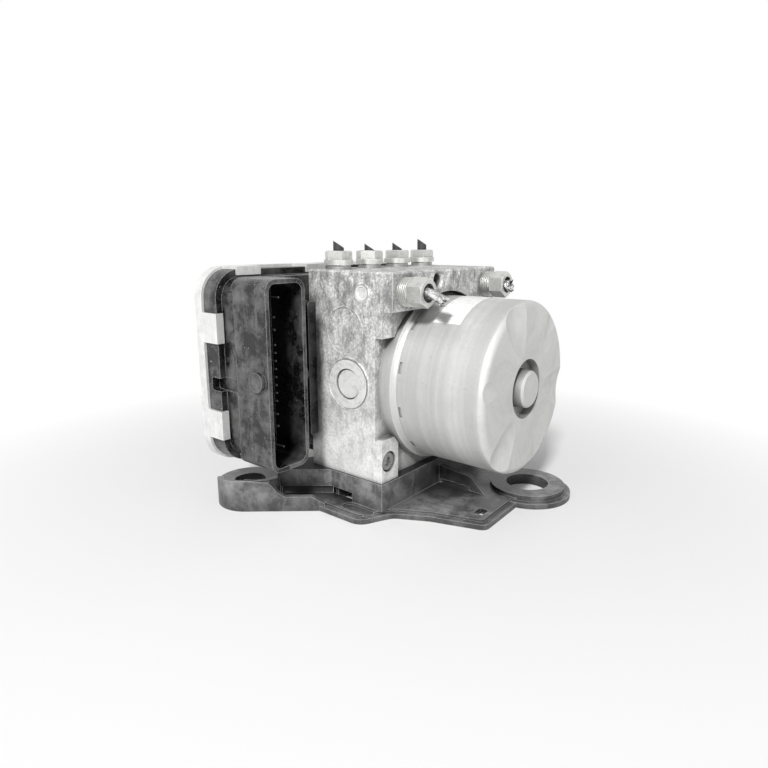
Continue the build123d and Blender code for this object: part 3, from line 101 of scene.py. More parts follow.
# Staking round the plugs in each side of the block: word, middle (x, z), inner and outer radius, height of
# the raised metal, and blows of the punch round it. Its foot is sunk into the side.
STAKED = (
    ("pump", (-0.0068, 0.0582), 0.0112, 0.0123, 0.00035, 12),
    ("damper", (-0.0087, 0.0818), 0.0100, 0.0107, 0.00007, 8),
    ("ball", (0.0013, 0.0984), 0.0033, 0.0045, 0.00030, 6),
)
STAKE_SINK = 0.0003
STAKE_ROWS = 13
STAKE_COLS = 180

# Edges that turn by more than this are rounded.
SHARP_ANGLE = 40


# Meshes


def grid_faces(rows, cols, closed):
    """Quads between rings of points, as corner numbers. Where closed is set the last ring joins the first."""
    r = np.arange(rows if closed else rows - 1)
    c = np.arange(cols)
    r, c = np.meshgrid(r, c, indexing="ij")
    r2, c2 = (r + 1) % rows, (c + 1) % cols
    quads = np.stack([r * cols + c, r * cols + c2, r2 * cols + c2, r2 * cols + c], axis=-1)
    return quads.reshape(-1, 4)


def make_piece(name, rings, material, closed=False):
    """Smooth closed mesh through rings of points, riding on the module.

    rings holds one row of points for each ring. Where closed is set the last ring joins the first,
    and otherwise each end closes to the middle of its ring. Faces are turned to point outwards.
    """
    rows, cols = rings.shape[:2]
    points = rings.reshape(-1, 3)
    corners = [grid_faces(rows, cols, closed)]
    if not closed:
        tips = np.stack([rings[0].mean(axis=0), rings[-1].mean(axis=0)])
        points = np.concatenate([points, tips])
        c = np.arange(cols)
        after = (c + 1) % cols
        last = (rows - 1) * cols
        first_tip = np.full_like(c, rows * cols)
        corners.append(np.stack([after, c, first_tip], axis=-1))
        corners.append(np.stack([last + c, last + after, first_tip + 1], axis=-1))
    volume = 0.0
    for faces in corners:
        for i in range(1, faces.shape[1] - 1):
            a, b, d = points[faces[:, 0]], points[faces[:, i]], points[faces[:, i + 1]]
            volume += np.einsum("ij,ij->", a, np.cross(b, d))
    if volume < 0:
        corners = [faces[:, ::-1] for faces in corners]
    mesh = bpy.data.meshes.new(name)
    mesh.from_pydata(points.tolist(), [], [face for faces in corners for face in faces.tolist()])
    mesh.update()
    mesh.shade_smooth()
    mesh.materials.append(material)
    obj = bpy.data.objects.new(name, mesh)
    bpy.context.collection.objects.link(obj)
    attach(obj, "module")
    return obj


# Materials


class Shade:
    """A node material in the making: object coordinates, patterns, masks and one principled shader."""

    def __init__(self, name, metallic=0.0, roughness=0.5):
        self.mat = bpy.data.materials.new(name)
        self.mat.use_nodes = True
        self.tree = self.mat.node_tree
        self.tree.nodes.clear()
        self.out = self.node("ShaderNodeOutputMaterial")
        self.shader = self.node("ShaderNodeBsdfPrincipled")
        self.link(self.shader.outputs["BSDF"], self.out.inputs["Surface"])
        self.shader.inputs["Metallic"].default_value = metallic
        self.shader.inputs["Roughness"].default_value = roughness
        self.coords = self.node("ShaderNodeTexCoord").outputs["Object"]
        self.last_normal = None

    def node(self, kind, **settings):
        n = self.tree.nodes.new(kind)
        for key, value in settings.items():
            setattr(n, key, value)
        return n

    def link(self, output, socket):
        self.tree.links.new(output, socket)

    def stretched(self, x, y, z):
        """Object coordinates scaled along the axes: below 1, a pattern gets longer that way."""
        m = self.node("ShaderNodeMapping")
        m.inputs["Scale"].default_value = (x, y, z)
        self.link(self.coords, m.inputs["Vector"])
        return m.outputs["Vector"]

    def noise(self, size, detail=4.0, rough=0.55, distort=0.0, vector=None):
        """Noise whose patches are about the given size in metres."""
        n = self.node("ShaderNodeTexNoise")
        n.inputs["Scale"].default_value = 1 / size
        n.inputs["Detail"].default_value = detail
        n.inputs["Roughness"].default_value = rough
        n.inputs["Distortion"].default_value = distort
        self.link(vector or self.coords, n.inputs["Vector"])
        return n.outputs["Fac"]

    def cells(self, size):
        """Distance to the middle of cells about the given size in metres."""
        v = self.node("ShaderNodeTexVoronoi")
        v.inputs["Scale"].default_value = 1 / size
        self.link(self.coords, v.inputs["Vector"])
        return v.outputs["Distance"]

    def spread(self, value, low, high, at_low=0.0, at_high=1.0):
        """Goes evenly from at_low, where the value is low, to at_high, where it is high, and no further."""
        m = self.node("ShaderNodeMapRange", clamp=True)
        m.inputs["From Min"].default_value = low
        m.inputs["From Max"].default_value = high
        m.inputs["To Min"].default_value = at_low
        m.inputs["To Max"].default_value = at_high
        self.link(value, m.inputs["Value"])
        return m.outputs["Result"]

    def times(self, a, b):
        m = self.node("ShaderNodeMath", operation="MULTIPLY")
        for value, socket in ((a, m.inputs[0]), (b, m.inputs[1])):
            if isinstance(value, (int, float)):
                socket.default_value = value
            else:
                self.link(value, socket)
        return m.outputs["Value"]

    def mix(self, factor, a, b):
        """Colour a where the factor is 0, and b where it is 1.

        The node has sockets for other kinds of value too: 6, 7 and output 2 are the colour ones.
        """
        m = self.node("ShaderNodeMix", data_type="RGBA")
        for value, socket in ((factor, m.inputs[0]), (a, m.inputs[6]), (b, m.inputs[7])):
            if isinstance(value, tuple):
                socket.default_value = (*value, 1)
            elif isinstance(value, (int, float)):
                socket.default_value = value
            else:
                self.link(value, socket)
        return m.outputs[2]

    def colour(self, value):
        self.link(value, self.shader.inputs["Base Color"])

    def roughness(self, value):
        self.link(value, self.shader.inputs["Roughness"])

    def bump(self, height, depth, strength=1.0):
        """Bump of the given depth in metres, on top of the bumps before it."""
        b = self.node("ShaderNodeBump")
        b.inputs["Distance"].default_value = depth
        b.inputs["Strength"].default_value = strength
        self.link(height, b.inputs["Height"])
        if self.last_normal:
            self.link(self.last_normal, b.inputs["Normal"])
        self.last_normal = b.outputs["Normal"]
        self.link(self.last_normal, self.shader.inputs["Normal"])

    def edges(self, radius):
        """Near 1 on sharp edges and 0 on open faces, within a radius in metres."""
        bevel = self.node("ShaderNodeBevel", samples=4)
        bevel.inputs["Radius"].default_value = radius
        flat = self.node("ShaderNodeNewGeometry").outputs["Normal"]
        dot = self.node("ShaderNodeVectorMath", operation="DOT_PRODUCT")
        self.link(bevel.outputs["Normal"], dot.inputs[0])
        self.link(flat, dot.inputs[1])
        return self.spread(dot.outputs["Value"], 0.999, 0.90)

    def painted_shade(self, reach):
        """Near 1 in corners and under overhangs within reach, in metres, and 0 in the open: the mask for
        painted shade where shade falls.
        """
        occlusion = self.node("ShaderNodeAmbientOcclusion", samples=6)
        occlusion.inputs["Distance"].default_value = reach
        return self.spread(occlusion.outputs["AO"], 0.9, 0.3)


def shaded(colour, amount):
    """The colour made darker or lighter by a factor, up to white."""
    return tuple(min(1.0, amount * c) for c in colour)


def block_aluminium(finish):
    """Extruded and tumbled block: mottle and stains that fade downwards, small nicks, painted shade in
    corners.
    """
    s = Shade("Block Aluminium", metallic=0.25, roughness=0.5)
    base = tuple(finish.block)
    broad = s.noise(0.010, detail=7, rough=0.68, distort=0.9)
    fine = s.noise(0.0011, detail=5, rough=0.75)
    smear = s.noise(0.0042, detail=7, rough=0.78, vector=s.stretched(1, 1, 0.5))
    pits = s.cells(0.0016)
    height = s.node("ShaderNodeSeparateXYZ")
    s.link(s.coords, height.inputs[0])
    high = s.spread(height.outputs["Z"], BLOCK_LOW[2], BLOCK_HIGH[2], 0.25, 1.0)
    tone = s.mix(s.times(s.spread(broad, 0.58, 0.38), high), base, shaded(base, 0.55))
    tone = s.mix(s.times(s.spread(smear, 0.47, 0.60), high), tone, shaded(base, 0.22))
    tone = s.mix(s.times(s.spread(fine, 0.46, 0.62, 0.0, 0.9), high), tone, shaded(base, 0.34))
    tone = s.mix(s.spread(fine, 0.40, 0.30, 0.0, 0.9), tone, shaded(base, 1.25))
    tone = s.mix(s.spread(pits, 0.14, 0.0, 0.0, 0.8), tone, shaded(base, 0.25))
    # Painted shade: darker in corners and under overhangs.
    tone = s.mix(s.times(s.painted_shade(0.008), 0.9), tone, shaded(base, 0.08))
    tone = s.mix(s.times(s.edges(0.0005), 0.5), tone, shaded(base, 1.2))
    s.colour(tone)
    s.roughness(s.spread(fine, 0.3, 0.7, 0.40, 0.65))
    s.bump(fine, 0.00022)
    s.bump(s.spread(pits, 0.0, 0.3), 0.00010, 0.7)
    return s.mat


def can_steel(finish):
    """Zinc-plated deep-drawn can: faint bands round it, clouded sheen, rubbed edges, painted shade in
    corners.
    """
    s = Shade("Motor Zinc Steel", metallic=0.4, roughness=0.5)
    base = tuple(finish.motor)
    bands = s.noise(0.005, detail=3, rough=0.6, vector=s.stretched(1, 0.015, 0.015))
    cloud = s.noise(0.018, detail=6, rough=0.65, distort=0.9)
    specks = s.noise(0.0009, detail=4, rough=0.7)
    scuff = s.noise(0.0026, detail=7, rough=0.8, vector=s.stretched(0.35, 1, 1))
    tone = s.mix(s.spread(bands, 0.36, 0.64), shaded(base, 0.80), base)
    tone = s.mix(s.spread(cloud, 0.42, 0.68, 0.0, 0.45), tone, shaded(base, 0.70))
    tone = s.mix(s.spread(scuff, 0.60, 0.72, 0.0, 0.7), tone, shaded(base, 0.42))
    tone = s.mix(s.spread(specks, 0.56, 0.7, 0.0, 0.35), tone, shaded(base, 0.5))
    # Painted shade: darker in corners and under overhangs.
    tone = s.mix(s.times(s.painted_shade(0.009), 0.8), tone, shaded(base, 0.12))
    tone = s.mix(s.times(s.edges(0.0006), 0.5), tone, shaded(base, 1.3))
    s.colour(tone)
    s.roughness(s.spread(cloud, 0.3, 0.7, 0.40, 0.60))
    s.bump(bands, 0.00012, 0.5)
    s.bump(specks, 0.00004)
    return s.mat


def cover_sheet(finish):
    """Aluminium sheet: rolling lines, soft scuffs and bright rubbed edges."""
    s = Shade("Cover Sheet Aluminium", metallic=0.45, roughness=0.36)
    base = tuple(finish.cover)
    lines = s.noise(0.0006, detail=3, vector=s.stretched(1, 1, 0.05))
    scuff = s.noise(0.008, detail=6, rough=0.7)
    tone = s.mix(s.spread(scuff, 0.42, 0.7), base, shaded(base, 0.74))
    tone = s.mix(s.spread(lines, 0.45, 0.7, 0.0, 0.3), tone, shaded(base, 0.6))
    tone = s.mix(s.times(s.edges(0.0005), 0.5), tone, shaded(base, 1.3))
    s.colour(tone)
    s.roughness(s.spread(scuff, 0.3, 0.7, 0.28, 0.48))
    s.bump(lines, 0.00004)
    return s.mat


def moulding(name, colour, dust, wear_and_highlight, rough):
    """Glass-filled moulding: fine grain, patches of dust, pale specks, painted shade in hollows, paler edges
    that are partly wear and partly painted highlight.
    """
    s = Shade(name, roughness=rough)
    base = tuple(colour)
    grain = s.noise(0.0005, detail=4, rough=0.6)
    patch = s.noise(0.010, detail=7, rough=0.7, distort=0.2)
    streak = s.noise(0.004, detail=6, rough=0.7, vector=s.stretched(1, 1, 0.2))
    specks = s.noise(0.0009, detail=2, rough=0.5)
    tone = s.mix(s.spread(patch, 0.43, 0.62), base, dust)
    tone = s.mix(s.spread(streak, 0.55, 0.70, 0.0, 0.7), tone, shaded(dust, 1.3))
    tone = s.mix(s.spread(specks, 0.70, 0.76, 0.0, 0.8), tone, shaded(wear_and_highlight, 1.6))
    # Painted shade in hollows and under overhangs.
    tone = s.mix(s.painted_shade(0.022), tone, shaded(base, 0.15))
    # Paler edges: partly wear, partly painted highlight.
    tone = s.mix(s.times(s.edges(0.0004), 0.85), tone, wear_and_highlight)
    s.colour(tone)
    s.roughness(s.spread(patch, 0.3, 0.7, rough - 0.14, rough + 0.14))
    s.bump(grain, 0.00007)
    s.bump(patch, 0.0003, 0.4)
    return s.mat


def plated(name, colour, rough=0.34, stain=0.5, metal=0.85):
    """Turned and plated steel: fine grain, darker stains, painted shade in hollows and rubbed edges."""
    s = Shade(name, metallic=metal, roughness=rough)
    base = tuple(colour)
    stains = s.noise(0.003, detail=6, rough=0.7, distort=0.7)
    grain = s.noise(0.0005, detail=3)
    tone = s.mix(s.spread(stains, 0.45, 0.7, 0.0, stain), base, shaded(base, 0.4))
    tone = s.mix(s.spread(grain, 0.5, 0.72, 0.0, 0.3), tone, shaded(base, 1.3))
    # Painted shade: darker in hollows and between threads.
    tone = s.mix(s.times(s.painted_shade(0.002), 0.8), tone, shaded(base, 0.12))
    tone = s.mix(s.times(s.edges(0.0004), 0.6), tone, shaded(base, 1.5))
    s.colour(tone)
    s.roughness(s.spread(stains, 0.3, 0.7, rough - 0.08, rough + 0.2))
    s.bump(grain, 0.00006)
    return s.mat


def torn_metal(name):
    """Torn steel: folds painted bright on their ridges as highlight and dark in their hollows as shade,
    painted shade in creases, and a rough grain.
    """
    s = Shade(name, metallic=0.7, roughness=0.4)
    folds = s.noise(0.0012, detail=6, rough=0.75, distort=0.8)
    # Painted highlight on the ridges of the folds and painted shade in their hollows.
    tone = s.mix(s.spread(folds, 0.38, 0.62), (0.10, 0.10, 0.10), (0.85, 0.85, 0.84))
    # Painted shade in creases.
    tone = s.mix(s.times(s.painted_shade(0.002), 0.8), tone, (0.03, 0.03, 0.03))
    s.colour(tone)
    s.roughness(s.spread(folds, 0.3, 0.7, 0.5, 0.3))
    s.bump(folds, 0.0005)
    return s.mat


def coated(name, colour, rough=0.5, size=0.002):
    """Even coat with a slight unevenness of tone and surface."""
    s = Shade(name, roughness=rough)
    cloud = s.noise(size, detail=5, rough=0.6)
    s.colour(s.mix(s.spread(cloud, 0.35, 0.7), tuple(colour), shaded(colour, 0.78)))
    s.roughness(s.spread(cloud, 0.3, 0.7, rough - 0.08, rough + 0.12))
    s.bump(cloud, 0.00004)
    return s.mat


def enamelled_wire(name, colour):
    """Windings: turns of enamelled wire as ridges, with painted shade between them."""
    s = Shade(name, metallic=0.7, roughness=0.35)
    wire = s.node("ShaderNodeTexWave", wave_type="BANDS", bands_direction="X")
    wire.inputs["Scale"].default_value = 320
    wire.inputs["Distortion"].default_value = 1.5
    s.link(s.coords, wire.inputs["Vector"])
    # Painted shade between the turns.
    s.colour(s.mix(wire.outputs["Fac"], shaded(colour, 0.45), tuple(colour)))
    s.bump(wire.outputs["Fac"], 0.0002)
    return s.mat


def laminate(name, colour):
    """Circuit board: solder mask over faint raised tracks."""
    s = Shade(name, roughness=0.4)
    tracks = s.node("ShaderNodeTexBrick")
    tracks.inputs["Scale"].default_value = 160
    tracks.inputs["Color1"].default_value = (*shaded(colour, 1.0), 1)
    tracks.inputs["Color2"].default_value = (*shaded(colour, 1.4), 1)
    tracks.inputs["Mortar"].default_value = (*shaded(colour, 0.7), 1)
    s.link(s.coords, tracks.inputs["Vector"])
    s.colour(tracks.outputs["Color"])
    s.bump(tracks.outputs["Fac"], 0.00003)
    return s.mat


DRESSED = set()


def dress(material, *starts):
    """Gives a material to every CAD node whose name starts with one of the words."""
    found = [name for name in NODES if name.startswith(starts)]
    if not found:
        raise RuntimeError(f"no node starts with {starts}")
    for name in found:
        materials = NODES[name].data.materials
        materials.clear()
        materials.append(material)
    DRESSED.update(found)


# Surfaces


def round_x(x, y, z, radius, angle):
    """Rings round an axis along X: x and radius are columns, angle is a row."""
    x, radius = x + 0 * angle, radius + 0 * angle
    return np.stack([x, y + radius * np.cos(angle), z + radius * np.sin(angle)], axis=-1)


def thread(name, x0, x1, y, z, depth, pitch, material):
    """Threaded stretch of a nut, from x0 to x1.

    The radius is that of the core plus a rounded wave of the thread's depth. The wave is at its crest where
    the way along, in pitches, less the angle, in turns, is whole, so the ridge climbs one pitch in each
    turn. It fades into the core over half a pitch at both ends.
    """
    x = np.linspace(x0, x1, THREAD_ROWS)[:, None]
    angle = np.linspace(0, TURN, ROUND, endpoint=False)[None, :]
    wave = 0.5 + 0.5 * np.cos(TURN * ((x - x0) / pitch - angle / TURN))
    fade = np.clip(np.minimum(x - x0, x1 - x) / (0.5 * pitch), 0, 1)
    return make_piece(name, round_x(x, y, z, THREAD_CORE + depth * wave * fade, angle), material)


def stake_ring(name, x, y, z, side, inner, outer, height, blows, material):
    """Metal raised by staking round a plug in the block's side, which faces side, -1 or 1, along Y.

    A closed ring whose top is a half sine wave across its width, flattened a little by the power 0.8. Its
    height swings between 0.62 and 1 of the full one by a cosine's size, with one crest for each blow.
    """
    across = np.linspace(0, 1, STAKE_ROWS)[:, None]
    angle = np.linspace(0, TURN, STAKE_COLS, endpoint=False)[None, :]
    swing = 0.62 + 0.38 * np.abs(np.cos(blows * angle / 2))
    top_r = inner + (outer - inner) * across + 0 * angle
    top_h = height * np.sin(math.pi * across) ** 0.8 * swing
    foot_r = top_r[[-1, 0]]
    foot_h = np.full_like(foot_r, -STAKE_SINK)
    r = np.concatenate([top_r, foot_r])
    h = np.concatenate([top_h, foot_h])
    rings = np.stack([x + r * np.cos(angle), y + side * h, z + r * np.sin(angle)], axis=-1)
    return make_piece(name, rings, material, closed=True)


def torn_pipe(name, node, wall, tip_half, twist, drop, crumple, jag, phase, material):
    """Pipe end torn off in its nut, in place of the plain one of the CAD.

    Round up to inside the mouth of the nut. From there the middle line falls by drop times the square of
    the way along. The round section goes over into a flat one of the two half sizes tip_half, which turns
    by twist degrees, and waves of two, five and nine to the turn, crumple in size, grow with it. Near the
    tip each angle ends short by its own part of jag, a sum of waves of three and eight to the turn. The
    wall folds over there into an inner surface that runs back into the pipe.
    """
    low, high = (np.array(corner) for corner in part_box(node))
    y = (low[1] + high[1]) / 2
    z = NUT_Z
    mouth = NUT_HIGH[0] - TEAR_DEPTH
    angle = np.linspace(0, TURN, ROUND, endpoint=False)[None, :]
    flare_x = low[0] + np.array([[0], [FLARE_END], [FLARE_CONE_END]])
    flare_r = np.array([[FLARE_RADIUS], [FLARE_RADIUS], [PIPE_RADIUS]])
    foot = round_x(flare_x, y, z, flare_r, angle)

    def section(t, inset):
        ease = t * t * (3 - 2 * t)
        wide = PIPE_RADIUS + (tip_half[0] - PIPE_RADIUS) * ease - inset
        thick = PIPE_RADIUS + (tip_half[1] - PIPE_RADIUS) * ease - inset
        waves = (0.5 * np.sin(2 * angle + 3 * t + phase) + 0.3 * np.sin(5 * angle - 7 * t + 2 * phase)
                 + 0.25 * np.sin(9 * angle + 11 * t - phase))
        size = 1 + crumple * ease * waves
        a, b = wide * size * np.cos(angle), thick * size * np.sin(angle)
        turn = math.radians(twist) * ease
        tears = 0.5 + 0.28 * np.sin(3 * angle + phase) + 0.22 * np.sin(8 * angle - 2 * phase)
        x = mouth + (high[0] - mouth) * t - jag * t ** 5 * (1 - tears)
        side = a * np.cos(turn) - b * np.sin(turn)
        rise = a * np.sin(turn) + b * np.cos(turn)
        return np.stack([x + 0 * angle, y + side, z - drop * t ** 2 + rise], axis=-1)

    outside = section(np.linspace(0, 1, TEAR_ROWS_OUTSIDE)[:, None], 0.0)
    inside = section(np.linspace(1, TEAR_CLOSED_AT, TEAR_ROWS_INSIDE)[:, None], wall)
    obj = make_piece(name, np.concatenate([foot, outside, inside]), material)
    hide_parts(node)
    return obj


def rub_edges(width, *starts):
    """Small rounding on the sharp edges of the CAD nodes whose names start with one of the words."""
    for name, obj in NODES.items():
        if name.startswith(starts):
            bevel = obj.modifiers.new("rubbed_edges", "BEVEL")
            bevel.width = width
            bevel.segments = 2
            bevel.limit_method = "ANGLE"
            bevel.angle_limit = math.radians(SHARP_ANGLE)
            bevel.harden_normals = True


# Operators


class BrakeFinish(bpy.types.PropertyGroup):
    """Colours of the module's finishes."""

    block: FloatVectorProperty(name="Block", description="Bare aluminium of the valve block",
                               default=(0.87, 0.87, 0.86), subtype="COLOR", min=0, max=1)
    motor: FloatVectorProperty(name="Motor", description="Zinc plating of the motor's can",
                               default=(0.62, 0.62, 0.61), subtype="COLOR", min=0, max=1)
    cover: FloatVectorProperty(name="Cover", description="Sheet aluminium of the control unit's cover",
                               default=(0.82, 0.82, 0.81), subtype="COLOR", min=0, max=1)
    plastic: FloatVectorProperty(name="Plastic", description="Moulded housing and bracket",
                                 default=(0.006, 0.006, 0.006), subtype="COLOR", min=0, max=1)
    plating: FloatVectorProperty(name="Nuts", description="Plating of the pipe nuts",
                                 default=(0.62, 0.62, 0.60), subtype="COLOR", min=0, max=1)
    pipe: FloatVectorProperty(name="Pipes", description="Coat of the cut brake pipes",
                              default=(0.05, 0.05, 0.05), subtype="COLOR", min=0, max=1)
    label: FloatVectorProperty(name="Label", description="Blank label on the motor",
                               default=(0.92, 0.92, 0.91), subtype="COLOR", min=0, max=1)


class BrakeDetail(bpy.types.PropertyGroup):
    """Sizes of the fine pieces."""

    edge_width: FloatProperty(name="Edges", description="Width of the rounding on the large pieces' edges",
                              default=0.00025, min=0, unit="LENGTH")
    thread_pitch: FloatProperty(name="Thread Pitch", description="Pitch of the thread on the long nuts",
                                default=0.0010, min=0.0003, unit="LENGTH")
    thread_depth: FloatProperty(name="Thread Depth", description="Height of the thread over its core",
                                default=0.0005, min=0, unit="LENGTH")
    pipe_wall: FloatProperty(name="Pipe Wall", description="Wall of the two torn pipes",
                             default=0.0006, min=0.0001, unit="LENGTH")


class BrakeStudio(bpy.types.PropertyGroup):
    """Light and floor round the module."""

    floor_tone: FloatProperty(name="Floor", description="Paleness of the floor",
                              default=0.86, min=0, max=1, subtype="FACTOR")
    key_power: FloatProperty(name="Key", description="Power of the main lamp",
                             default=16.5, min=0, unit="POWER")
    fill_power: FloatProperty(name="Fill", description="Power of the side lamp",
                              default=1.5, min=0, unit="POWER")
    sky: FloatProperty(name="Sky", description="Strength of the light from all round", default=0.20, min=0)


class MetalFinishes(bpy.types.Operator):
    """Finish the block, the motor, the sheet parts and the turned parts"""

    bl_idname = "brake.metal_finishes"
    bl_label = "Metal Finishes"

    def execute(self, context):
        f = context.scene.brake_finish
        dress(block_aluminium(f), "valve_block", "damper_covers")
        dress(plated("Plug Plating", (0.82, 0.82, 0.81), 0.5, 0.6, 0.3), "pump_plugs", "ball_seals")
        dress(can_steel(f), "motor_can", "motor_flange")
        dress(cover_sheet(f), "control_cover", "accumulator_covers", "accumulator_piston")
        dress(plated("Nut Plating", f.plating), "wheel_fittings", "master_fittings")
        dress(plated("Pipe Coat", f.pipe, 0.45, 0.5, 0.3), "wheel_pipe")
        dress(plated("Bright Steel", (0.52, 0.52, 0.51), 0.3, 0.35),
              "master_pipe", "pump_sleeves", "pump_piston", "pump_spring", "rotor_shaft", "rotor_core",
              "eccentric", "front_bearing", "rear_bearing", "tail_bearing", "accumulator_spring",
              "valve_cartridges", "valve_plunger", "housing_screws")
        dress(plated("Tinned Contact", (0.20, 0.20, 0.20), 0.4, 0.5, 0.6), "connector_pins", "motor_contacts")
        dress(enamelled_wire("Enamelled Copper", (0.72, 0.34, 0.16)), "rotor_windings", "solenoid_coils")
        dress(plated("Commutator Copper", (0.75, 0.42, 0.25), 0.3, 0.4), "commutator")
        return {"FINISHED"}


class MouldedFinishes(bpy.types.Operator):
    """Finish the mouldings, seals, label, magnets, brushes and the circuit board"""

    bl_idname = "brake.moulded_finishes"
    bl_label = "Moulded Finishes"

    def execute(self, context):
        f = context.scene.brake_finish
        dress(moulding("Housing Plastic", f.plastic, dust=(0.115, 0.115, 0.115), wear_and_highlight=(0.32, 0.32, 0.32),
                       rough=0.30), "control_housing", "brush_holder")
        dress(moulding("Bracket Plastic", shaded(f.plastic, 14), dust=(0.27, 0.27, 0.27),
                       wear_and_highlight=(0.42, 0.42, 0.42), rough=0.42), "bracket")
        dress(coated("Seal Rubber", (0.02, 0.02, 0.02), 0.7), "housing_seal")
        dress(coated("Label Film", f.label, 0.45), "motor_label")
        dress(coated("Ferrite", (0.07, 0.07, 0.075), 0.6), "motor_magnets")
        dress(coated("Brush Carbon", (0.05, 0.05, 0.05), 0.5), "brushes")
        dress(coated("Chip Body", (0.03, 0.03, 0.032), 0.45), "board_components")
        dress(laminate("Board Laminate", (0.02, 0.14, 0.06)), "circuit_board")
        dress(plated("Bolt Plating", (0.45, 0.44, 0.42), 0.35, 0.5), "bracket_bolts")
        return {"FINISHED"}


class FineThreads(bpy.types.Operator):
    """Cut the thread that shows on each of the two long nuts"""

    bl_idname = "brake.fine_threads"
    bl_label = "Fine Threads"

    def execute(self, context):
        detail = context.scene.brake_detail
        material = NODES["master_fittings"].data.materials[0]
        x0 = BLOCK_HIGH[0] - THREAD_IN_BLOCK
        x1 = BLOCK_HIGH[0] + THREAD_SHOWN + THREAD_IN_NUT
        for number in (1, 2):
            low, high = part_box(f"master_pipe_{number}")
            thread(f"master_thread_{number}", x0, x1, (low[1] + high[1]) / 2, NUT_Z, detail.thread_depth,
                   detail.thread_pitch, material)
        return {"FINISHED"}


class TornPipes(bpy.types.Operator):
    """Tear the ends of the two pipes that leave the head"""

    bl_idname = "brake.torn_pipes"
    bl_label = "Torn Pipes"

    def execute(self, context):
        material = torn_metal("Torn Pipe Steel")
        wall = context.scene.brake_detail.pipe_wall
        torn_pipe("torn_pipe_1", "master_pipe_1", wall, tip_half=(0.0031, 0.0010), twist=20, drop=0.0033,
                  crumple=0.24, jag=0.0022, phase=0.7, material=material)
        torn_pipe("torn_pipe_2", "master_pipe_2", wall, tip_half=(0.0034, 0.0018), twist=95, drop=0.0004,
                  crumple=0.20, jag=0.0016, phase=2.1, material=material)
        return {"FINISHED"}


class StakeMarks(bpy.types.Operator):
    """Raise the staked metal round the plugs in the block's two sides"""

    bl_idname = "brake.stake_marks"
    bl_label = "Stake Marks"

    def execute(self, context):
        material = NODES["valve_block"].data.materials[0]
        for number, (y, side) in enumerate(((BLOCK_LOW[1], -1), (BLOCK_HIGH[1], 1)), 1):
            for word, (x, z), inner, outer, height, blows in STAKED:
                stake_ring(f"{word}_staking_{number}", x, y, z, side, inner, outer, height, blows, material)
        return {"FINISHED"}


class RubbedEdges(bpy.types.Operator):
    """Take the sharpness off the edges of the large pieces"""

    bl_idname = "brake.rubbed_edges"
    bl_label = "Rubbed Edges"

    def execute(self, context):
        rub_edges(context.scene.brake_detail.edge_width, "valve_block", "control_cover", "control_housing",
                  "bracket", "wheel_fittings", "master_fittings")
        return {"FINISHED"}


class Studio(bpy.types.Operator):
    """Set the floor, the lamps and the camera"""

    bl_idname = "brake.studio"
    bl_label = "Studio"

    def execute(self, context):
        s = context.scene.brake_studio
        pale_floor(s.floor_tone)
        pale_world(s.sky)
        lamp("key_lamp", KEY_PLACE, KEY_WIDTH, s.key_power)
        lamp("fill_lamp", FILL_PLACE, FILL_WIDTH, s.fill_power)
        place_camera()
        return {"FINISHED"}


def looking(tree):
    """1 for the camera's rays and for those that a surface mirrors or passes on, and 0 for the others."""
    path = tree.nodes.new("ShaderNodeLightPath")
    result = path.outputs["Is Camera Ray"]
    for kind in ("Is Glossy Ray", "Is Transmission Ray"):
        most = tree.nodes.new("ShaderNodeMath")
        most.operation = "MAXIMUM"
        tree.links.new(result, most.inputs[0])
        tree.links.new(path.outputs[kind], most.inputs[1])
        result = most.outputs["Value"]
    return result


def pale_floor(tone):
    """Wide pale floor that keeps the part's shadow and passes into plain white away from it."""
    points = np.array([[-1, -1, 0], [1, -1, 0], [1, 1, 0], [-1, 1, 0]]) * FLOOR_HALF
    mesh = bpy.data.meshes.new("floor")
    mesh.from_pydata(points.tolist(), [], [(0, 1, 2, 3)])
    floor = bpy.data.objects.new("floor", mesh)
    bpy.context.collection.objects.link(floor)
    s = Shade("Studio Floor", roughness=0.9)
    s.colour(s.mix(s.noise(0.3, detail=2), (tone, tone, tone), shaded((tone, tone, tone), 1.02)))
    way = s.node("ShaderNodeVectorMath", operation="LENGTH")
    s.link(s.coords, way.inputs[0])
    far = s.spread(way.outputs["Value"], FLOOR_FADE_FROM, FLOOR_FADE_TO)
    white = s.node("ShaderNodeEmission")
    mix = s.node("ShaderNodeMixShader")
    s.link(s.times(far, looking(s.tree)), mix.inputs["Fac"])
    s.link(s.shader.outputs["BSDF"], mix.inputs[1])
    s.link(white.outputs["Emission"], mix.inputs[2])
    s.link(mix.outputs["Shader"], s.out.inputs["Surface"])
    mesh.materials.append(s.mat)


def pale_world(strength):
    """Even pale light from all round; the camera, and what mirrors it, sees plain white."""
    world = bpy.data.worlds.new("Pale Sky")
    bpy.context.scene.world = world
    world.use_nodes = True
    tree = world.node_tree
    tree.nodes.clear()
    light = tree.nodes.new("ShaderNodeBackground")
    light.inputs["Strength"].default_value = strength
    white = tree.nodes.new("ShaderNodeBackground")
    white.inputs["Color"].default_value = (1, 1, 1, 1)
    mix = tree.nodes.new("ShaderNodeMixShader")
    out = tree.nodes.new("ShaderNodeOutputWorld")
    tree.links.new(looking(tree), mix.inputs["Fac"])
    tree.links.new(light.outputs["Background"], mix.inputs[1])
    tree.links.new(white.outputs["Background"], mix.inputs[2])
    tree.links.new(mix.outputs["Shader"], out.inputs["Surface"])


def lamp(name, place, width, power):
    """Square soft lamp pointing at the middle of the module."""
    data = bpy.data.lights.new(name, "AREA")
    data.size = width
    data.energy = power
    obj = bpy.data.objects.new(name, data)
    obj.location = place
    obj.rotation_euler = (Vector(AIM) - Vector(place)).to_track_quat("-Z", "Y").to_euler()
    bpy.context.collection.objects.link(obj)


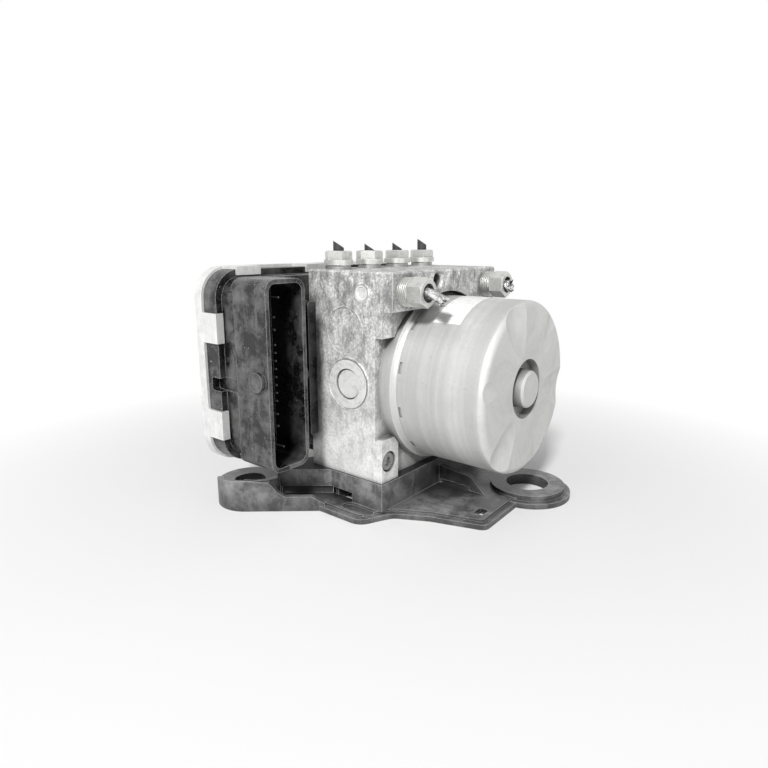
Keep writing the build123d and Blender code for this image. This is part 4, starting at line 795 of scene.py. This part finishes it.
def place_camera():
    """Camera at the photograph's place and angle."""
    data = bpy.data.cameras.new("camera")
    data.sensor_width = CAMERA_SENSOR_MM
    data.lens = CAMERA_LENS_MM
    data.clip_start = 0.01
    cam = bpy.data.objects.new("camera", data)
    cam.location = CAMERA_PLACE
    turn = (math.radians(90 - CAMERA_DOWN), math.radians(CAMERA_ROLL), math.radians(CAMERA_AZIMUTH))
    cam.rotation_euler = Euler(turn, "XYZ")
    bpy.context.collection.objects.link(cam)
    bpy.context.scene.camera = cam
    bpy.context.scene.view_settings.view_transform = "Standard"


OPERATORS = (MetalFinishes, MouldedFinishes, FineThreads, TornPipes, StakeMarks, RubbedEdges, Studio)


class BrakePanel(bpy.types.Panel):
    """Sidebar panel with the finishes, the fine sizes, the light and one button for each step"""

    bl_idname = "VIEW3D_PT_brake_module"
    bl_label = "ABS Brake Module"
    bl_space_type = "VIEW_3D"
    bl_region_type = "UI"
    bl_category = "Brake Module"

    def draw(self, context):
        scene = context.scene
        for group in (scene.brake_finish, scene.brake_detail, scene.brake_studio):
            box = self.layout.box()
            for name in group.__annotations__:
                box.prop(group, name)
        for step in OPERATORS:
            self.layout.operator(step.bl_idname)


CLASSES = (BrakeFinish, BrakeDetail, BrakeStudio, *OPERATORS, BrakePanel)


def register():
    for cls in CLASSES:
        bpy.utils.register_class(cls)
    bpy.types.Scene.brake_finish = PointerProperty(type=BrakeFinish)
    bpy.types.Scene.brake_detail = PointerProperty(type=BrakeDetail)
    bpy.types.Scene.brake_studio = PointerProperty(type=BrakeStudio)


def unregister():
    del bpy.types.Scene.brake_studio
    del bpy.types.Scene.brake_detail
    del bpy.types.Scene.brake_finish
    for cls in reversed(CLASSES):
        bpy.utils.unregister_class(cls)


def main():
    """Runs every step in order, then makes sure that every CAD node has a finish."""
    register()
    for step in OPERATORS:
        group, name = step.bl_idname.split(".")
        getattr(getattr(bpy.ops, group), name)()
    bare = set(NODES) - DRESSED
    if bare:
        raise RuntimeError(f"no finish on {sorted(bare)}")


if __name__ == "__main__":
    main()
